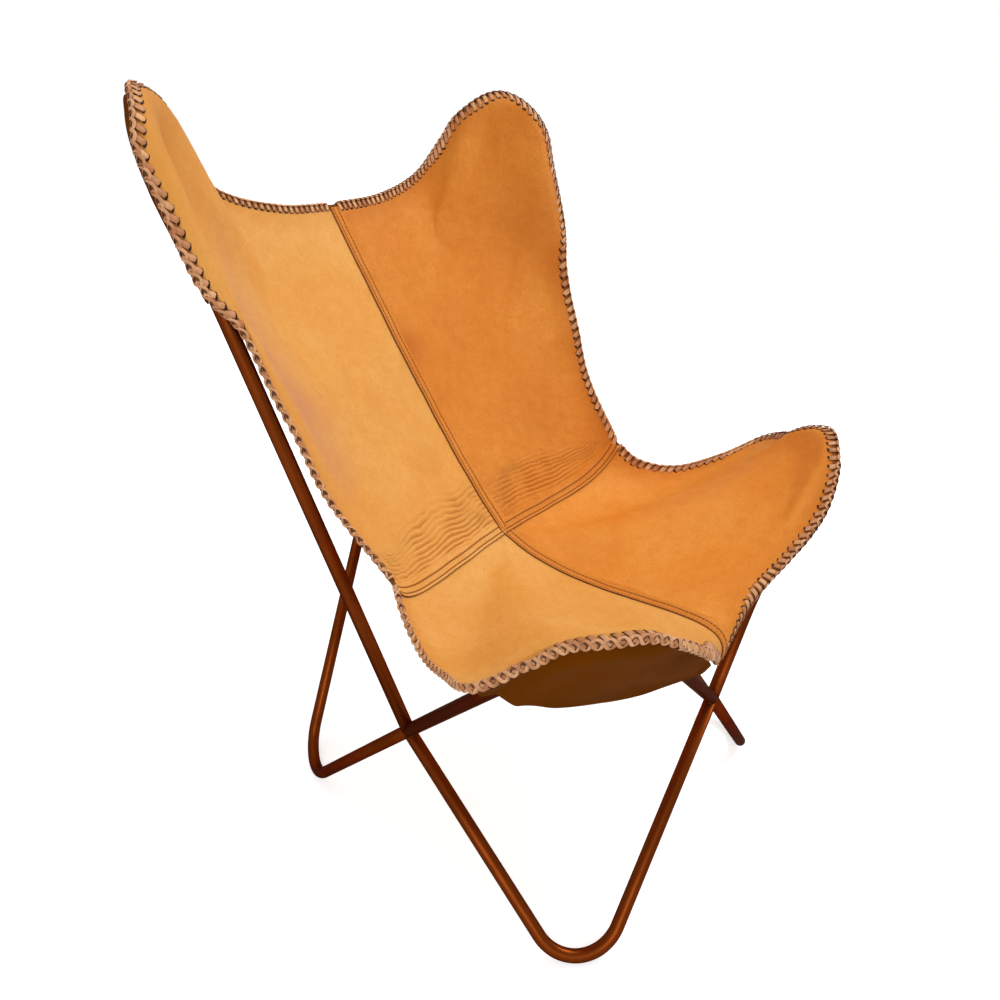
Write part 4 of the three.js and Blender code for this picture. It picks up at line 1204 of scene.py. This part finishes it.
looks = {
    # The paler left colours and deeper right colours are partly the hide's own tone and partly painted light: the left
    # half lit, the right half shaded
    "light": (236, 165, 76), "lightPale": (241, 180, 98), "lightDeep": (214, 140, 54),
    "deep": (223, 133, 36), "deepPale": (231, 150, 56), "deepDark": (192, 104, 22),
    "seat": (235, 143, 42), "seatPale": (241, 160, 64), "seatDark": (204, 114, 28),
    # Painted colours: the rosy colour is a painted sheen, the creased colour painted shade in fold troughs and stitch
    # grooves, the colour under the lacing painted shade between the turns
    "rosySheen": (214, 148, 104), "creaseShade": (172, 96, 26), "shadeUnderLace": (92, 46, 18),
    "flesh": (128, 74, 24), "fleshDark": (96, 54, 14),
    # The pocket's outside: partly the leather's own darker brown, partly painted shade, as it faces the floor
    "outside": (104, 52, 0), "outsideDark": (88, 43, 0),
    "burnished": (120, 62, 26),
    "lace": (190, 122, 76), "laceDark": (70, 32, 16), "laceLight": (236, 178, 128),
    # The slit colour is painted shade inside the slits
    "tube": (128, 58, 18), "tubeDark": (82, 32, 8), "tubeEdge": (90, 50, 26),
    "thread": (74, 34, 14), "slit": (52, 24, 10),
}


def leatherLook(name, plain, pale, dark, seed, edge=True):
    """Mottled hide: slow patches, fine flecks, a burnished border, and grain as bump, with painted shade under the
    lacing and in the folds' troughs, and a painted sheen beside the roll.
    """
    material, tree = newMaterial(name)
    where = addNode(tree, "TexCoord").outputs["Object"]
    moved = addNode(tree, "Mapping", {"Vector": where, "Location": (seed, seed * .7, seed * .3)}).outputs[0]
    patches = ramp(tree, noise(tree, moved, 7, 3, .55, .4), .35, .68)
    fine = ramp(tree, noise(tree, moved, 58, 6, .68), .3, .72)
    colour = mixed(tree, math2(tree, "MULTIPLY", patches, .75), linear(plain), linear(pale))
    colour = mixed(tree, math2(tree, "MULTIPLY", ramp(tree, noise(tree, moved, 4.1, 4, .6, .8), .52, .78), .55),
                   colour, linear(dark))
    colour = mixed(tree, math2(tree, "MULTIPLY", fine, .28), colour, linear(dark))
    flecks = ramp(tree, noise(tree, moved, 340, 3, .75), .46, .72)
    colour = mixed(tree, math2(tree, "MULTIPLY", flecks, .5), colour, linear(dark))
    pale_ = ramp(tree, noise(tree, moved, 420, 3, .75), .52, .78)
    colour = mixed(tree, math2(tree, "MULTIPLY", pale_, .4), colour, linear(pale))
    if edge:
        border = ramp(tree, attribute(tree, "rim"), 0.002, 0.055, 1, 0)
        colour = mixed(tree, math2(tree, "MULTIPLY", border, .5), colour, linear(dark))
        # Painted shade between the lacing's turns: the leather near the rim made near-black brown
        shadeNearRim = ramp(tree, attribute(tree, "rim"), .006, .012, 1, 0)
        colour = mixed(tree, math2(tree, "MULTIPLY", shadeNearRim, .8), colour, linear(looks["shadeUnderLace"]))
        # Painted sheen: a rosy band beside the roll below the left ear
        paintedSheen = math2(tree, "MULTIPLY", attribute(tree, "paintedSheen"), ramp(tree, patches, 0, 1, .95, .6))
        colour = mixed(tree, paintedSheen, colour, linear(looks["rosySheen"]))
        colour = mixed(tree, attribute(tree, "shade"), colour, linear(dark))
        # Painted shade in the troughs of the folds above the side seam
        foldTroughShade = ramp(tree, attribute(tree, "crease"), -.15, -.8)
        colour = mixed(tree, math2(tree, "MULTIPLY", foldTroughShade, .55), colour, linear(looks["creaseShade"]))
    cells = addNode(tree, "TexVoronoi", {"Vector": moved, "Scale": 820, "Randomness": 1},
                    feature="DISTANCE_TO_EDGE").outputs[0]
    grain = ramp(tree, cells, 0, .16)
    soft = noise(tree, moved, 260, 4, .6)
    normal = bumped(tree, grain, .00026, .5)
    normal = bumped(tree, soft, .0009, .55, normal)
    normal = bumped(tree, noise(tree, moved, 70, 3, .5, .6), .002, .3, normal)
    roughness = ramp(tree, fine, 0, 1, .52, .66)
    finish(tree, colour, roughness, normal, specular=.22)
    return material


def plainLeather(name, colour, dark, scale, roughness, grain, specular=.3):
    material, tree = newMaterial(name)
    where = addNode(tree, "TexCoord").outputs["Object"]
    patches = ramp(tree, noise(tree, where, scale, 5, .6, .5), .35, .7)
    mix = mixed(tree, patches, linear(colour), linear(dark))
    normal = bumped(tree, noise(tree, where, 500, 4, .7), grain, .6)
    finish(tree, mix, ramp(tree, patches, 0, 1, roughness, roughness + .1), normal, specular=specular)
    return material


def laceLook(name):
    """Thong: pale grain face, borders painted dark as the shade between turns, each turn a little lighter or darker."""
    material, tree = newMaterial(name)
    where = addNode(tree, "TexCoord").outputs["Object"]
    tone = attribute(tree, "tone")
    colour = mixed(tree, tone, linear(looks["lace"]), linear(looks["laceLight"]))
    streak = ramp(tree, noise(tree, where, 130, 4, .65), .35, .75)
    colour = mixed(tree, math2(tree, "MULTIPLY", streak, .3), colour, linear(looks["laceDark"]))
    # Painted shade at the thong's borders, standing in for the shadows between turns
    border = ramp(tree, attribute(tree, "border"), .35, .85)
    colour = mixed(tree, math2(tree, "MULTIPLY", border, .95), colour, linear(looks["laceDark"]))
    # Painted shade in the slits and on the core under the turns
    colour = mixed(tree, attribute(tree, "shadeInLacing"), colour, linear(looks["slit"]))
    normal = bumped(tree, noise(tree, where, 600, 3, .6), .0004, .5)
    finish(tree, colour, .5, normal, specular=.25)
    return material


def lapLook(name, plain, pale, dark, seed):
    """The lap is the same hide, dark at its cut edge, with painted shade in the stitched grooves."""
    material = leatherLook(name, plain, pale, dark, seed, edge=False)
    tree = material.node_tree
    shader = [n for n in tree.nodes if n.type == "BSDF_PRINCIPLED"][0]
    colour = shader.inputs["Base Color"].links[0].from_socket
    off = attribute(tree, "cut")
    colour = mixed(tree, math2(tree, "MULTIPLY", ramp(tree, off, .0003, .0024, 1, 0), .9),
                   colour, linear(looks["burnished"]))
    # Painted shade in the grooves of the two stitched rows
    for row in lap["rows"]:
        near = ramp(tree, math2(tree, "ABSOLUTE", math2(tree, "SUBTRACT", off, row)), .0005, .002, 1, 0)
        colour = mixed(tree, math2(tree, "MULTIPLY", near, .8), colour, linear(looks["creaseShade"]))
    tree.links.new(colour, shader.inputs["Base Color"])
    return material


def tubeLook(name):
    """Brown powder coat under gloss: slow unevenness and a fine orange peel."""
    material, tree = newMaterial(name)
    where = addNode(tree, "TexCoord").outputs["Object"]
    patches = ramp(tree, noise(tree, where, 14, 4, .6), .35, .72)
    colour = mixed(tree, math2(tree, "MULTIPLY", patches, .45), linear(looks["tube"]), linear(looks["tubeDark"]))
    specks = ramp(tree, noise(tree, where, 700, 2, .5), .7, .8)
    colour = mixed(tree, math2(tree, "MULTIPLY", specks, .25), colour, linear(looks["tubeDark"]))
    normal = bumped(tree, noise(tree, where, 330, 2, .5), .0003, .35)
    finish(tree, colour, ramp(tree, patches, 0, 1, .34, .44), normal, metallic=.85, specular=.05,
           specularTint=looks["tubeEdge"])
    return material


def steelLook(name):
    material, tree = newMaterial(name)
    where = addNode(tree, "TexCoord").outputs["Object"]
    streak = noise(tree, where, 220, 4, .6)
    colour = mixed(tree, ramp(tree, streak, .4, .7), linear((143, 143, 140)), linear((112, 112, 110)))
    finish(tree, colour, ramp(tree, streak, .3, .8, .3, .45), bumped(tree, streak, .0003, .4), metallic=1.0)
    return material


# Paler left hide and deeper right hides: partly their own tone, partly painted light and shade; the right front a
# little paler than the right back
light = leatherLook("hide_light", looks["light"], looks["lightPale"], looks["lightDeep"], 1.3)
deep = leatherLook("hide_deep", looks["deep"], looks["deepPale"], looks["deepDark"], 5.1)
seatDeep = leatherLook("hide_seat", looks["seat"], looks["seatPale"], looks["seatDark"], 7.7)
flesh = plainLeather("flesh_side", looks["flesh"], looks["fleshDark"], 12, .75, .0009)
edgeLook = plainLeather("burnished_edge", looks["burnished"], looks["fleshDark"], 60, .5, .0004)
# The pockets' outside, darkened partly as painted shade
pocketLook = plainLeather("pocket_outside", looks["outside"], looks["outsideDark"], 9, .75, .0006, .02)
thongs = laceLook("thong")
lapPalePartlyLit = lapLook("lap_light", looks["light"], looks["lightPale"], looks["lightDeep"], 1.3)
lapDeepPartlyShaded = lapLook("lap_deep", looks["deep"], looks["deepPale"], looks["deepDark"], 5.1)
coat = tubeLook("powder_coat")
steel = steelLook("steel")
threadLook = plainLeather("thread", looks["thread"], looks["tubeDark"], 300, .6, .0002)

wearing = {"leather_back_left": (light, flesh, edgeLook), "leather_front_left": (light, flesh, edgeLook),
           "leather_back_right": (deep, flesh, edgeLook), "leather_front_right": (seatDeep, flesh, edgeLook),
           "seam_back": (lapDeepPartlyShaded, flesh, edgeLook), "seam_front": (lapDeepPartlyShaded, flesh, edgeLook),
           "seam_left": (lapPalePartlyLit, flesh, edgeLook), "seam_right": (lapDeepPartlyShaded, flesh, edgeLook)}
for piece in bpy.context.scene.objects:
    if piece.type != "MESH":
        continue
    kind = piece.name.split("_")[0]
    if piece.name in wearing:
        looksOn = wearing[piece.name]
    elif kind == "pocket":
        looksOn = (pocketLook, pocketLook, edgeLook)
    elif kind == "lacing":
        looksOn = (thongs,)
    elif kind == "stitching":
        looksOn = (threadLook,)
    elif kind == "joint":
        looksOn = (steel,)
    elif "tube" in piece.name:
        looksOn = (coat,)
    else:
        continue
    piece.data.materials.clear()
    for look in looksOn:
        piece.data.materials.append(look)
print("materials made")

# What rides on the frame, and what it stands for

objects = bpy.context.scene.objects
stands = {}
for end in ("back", "front"):
    for half in ("left", "right"):
        stands[f"ear_tube_{end}_{half}"] = (f"ear_bow_{end}_{half}", "tube")
        stands[f"floor_tube_{end}_{half}"] = (f"floor_bow_{end}_{half}", "tube")
        stands[f"leather_{end}_{half}"] = (f"panel_{end}_{half}", "leather_light" if half == "left" else "leather_deep")
        stands[f"pocket_{end}_{half}"] = (f"ear_pocket_{end}_{half}", "leather_underside")
        stands[f"lacing_{end}_{half}"] = (f"edge_lacing_{end}_{half}", "lacing")
for name in ("back", "front", "left", "right"):
    slotName = "leather_deep" if name == "right" else "leather_light"
    stands[f"seam_{name}"] = (f"seam_strap_{name}", slotName)
for name, (node, slotName) in stands.items():
    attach(objects[name], "root")
    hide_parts(node)
for name in ("back", "front", "left", "right"):
    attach(objects[f"stitching_{name}"], "root")


def oneSidedArea(middle):
    a, b = np.diff(middle, axis=0)[:, :-1], np.diff(middle, axis=1)[:-1]
    return float(np.linalg.norm(np.cross(a, b), axis=-1).sum())


for name in panels:
    print(name, "area", round(oneSidedArea(skins[name]["middle"]), 4),
          "seam", round(float(runLength(skins[name]["middle"][-1], 0)[-1]), 3),
          "side", round(float(runLength(skins[name]["middle"][0], 0)[-1]), 3),
          "line", round(float(skins[name]["rim"][:, -1].max()), 3),
          "rim", round(float(runLength(skins[name]["middle"][:, 0], 0)[-1]), 3))

# A loop over the panels that only reads each middle surface
for name in panels:
    middle = skins[name]["middle"]

# Stage, light and background

studio = {
    "floor": (226, 226, 226),
    "floorSeen": 0.62,            # how much whiter the floor looks to the camera than it lights
    "floorFade": (0.5, 1.6),     # distances between which the floor becomes plain white
    "world": 0.5,
    "key": 66, "fill": 34, "top": 16,
}


def addStage():
    mesh = bpy.data.meshes.new("floor")
    size = 6
    mesh.from_pydata([(-size, -size, -.0005), (size, -size, -.0005), (size, size, -.0005), (-size, size, -.0005)],
                     [], [(0, 1, 2, 3)])
    floor = bpy.data.objects.new("floor", mesh)
    bpy.context.scene.collection.objects.link(floor)
    material, tree = newMaterial("floor")
    where = addNode(tree, "TexCoord").outputs["Object"]
    away = addNode(tree, "VectorMath", {0: where}, operation="LENGTH").outputs["Value"]
    white = ramp(tree, away, *studio["floorFade"], studio["floorSeen"], 1)
    seen = math2(tree, "MULTIPLY", white, addNode(tree, "LightPath").outputs["Is Camera Ray"])
    pale = addNode(tree, "BsdfDiffuse", {"Color": linear(studio["floor"])})
    glow = addNode(tree, "Emission", {"Color": (1, 1, 1, 1), "Strength": seen})
    both = addNode(tree, "AddShader", {0: pale.outputs[0], 1: glow.outputs[0]})
    addNode(tree, "OutputMaterial", {0: both.outputs[0]})
    mesh.materials.append(material)


def addLamp(name, place_, target, size, power, colour=(1, 1, 1)):
    data = bpy.data.lights.new(name, "AREA")
    data.energy, data.size, data.color = power, size, colour
    lamp = bpy.data.objects.new(name, data)
    way = Vector(target) - Vector(place_)
    lamp.matrix_world = Matrix.Translation(place_) @ way.to_track_quat("-Z", "Y").to_matrix().to_4x4()
    bpy.context.scene.collection.objects.link(lamp)


def addWorld():
    world = bpy.data.worlds.new("studio")
    bpy.context.scene.world = world
    world.use_nodes = True
    tree = world.node_tree
    tree.nodes.clear()
    path = addNode(tree, "LightPath")
    seen = addNode(tree, "Background", {"Color": (1, 1, 1, 1), "Strength": 1.0})
    lit = addNode(tree, "Background", {"Color": (1, 1, 1, 1), "Strength": studio["world"]})
    plain = math2(tree, "MAXIMUM", path.outputs["Is Camera Ray"], path.outputs["Is Transmission Ray"])
    mix = addNode(tree, "MixShader", {0: plain})
    tree.links.new(lit.outputs[0], mix.inputs[1])
    tree.links.new(seen.outputs[0], mix.inputs[2])
    out = addNode(tree, "OutputWorld")
    tree.links.new(mix.outputs[0], out.inputs[0])


addStage()
addWorld()
addLamp("key", (2.3, -1.2, 3.3), (0, 0, .5), 1.5, studio["key"])
addLamp("fill", (-2.6, -1.6, 1.6), (0, 0, .5), 2.2, studio["fill"])
addLamp("top", (0, .6, 3.2), (0, 0, .5), 2.5, studio["top"])
view = bpy.context.scene.view_settings
view.view_transform = "Standard"
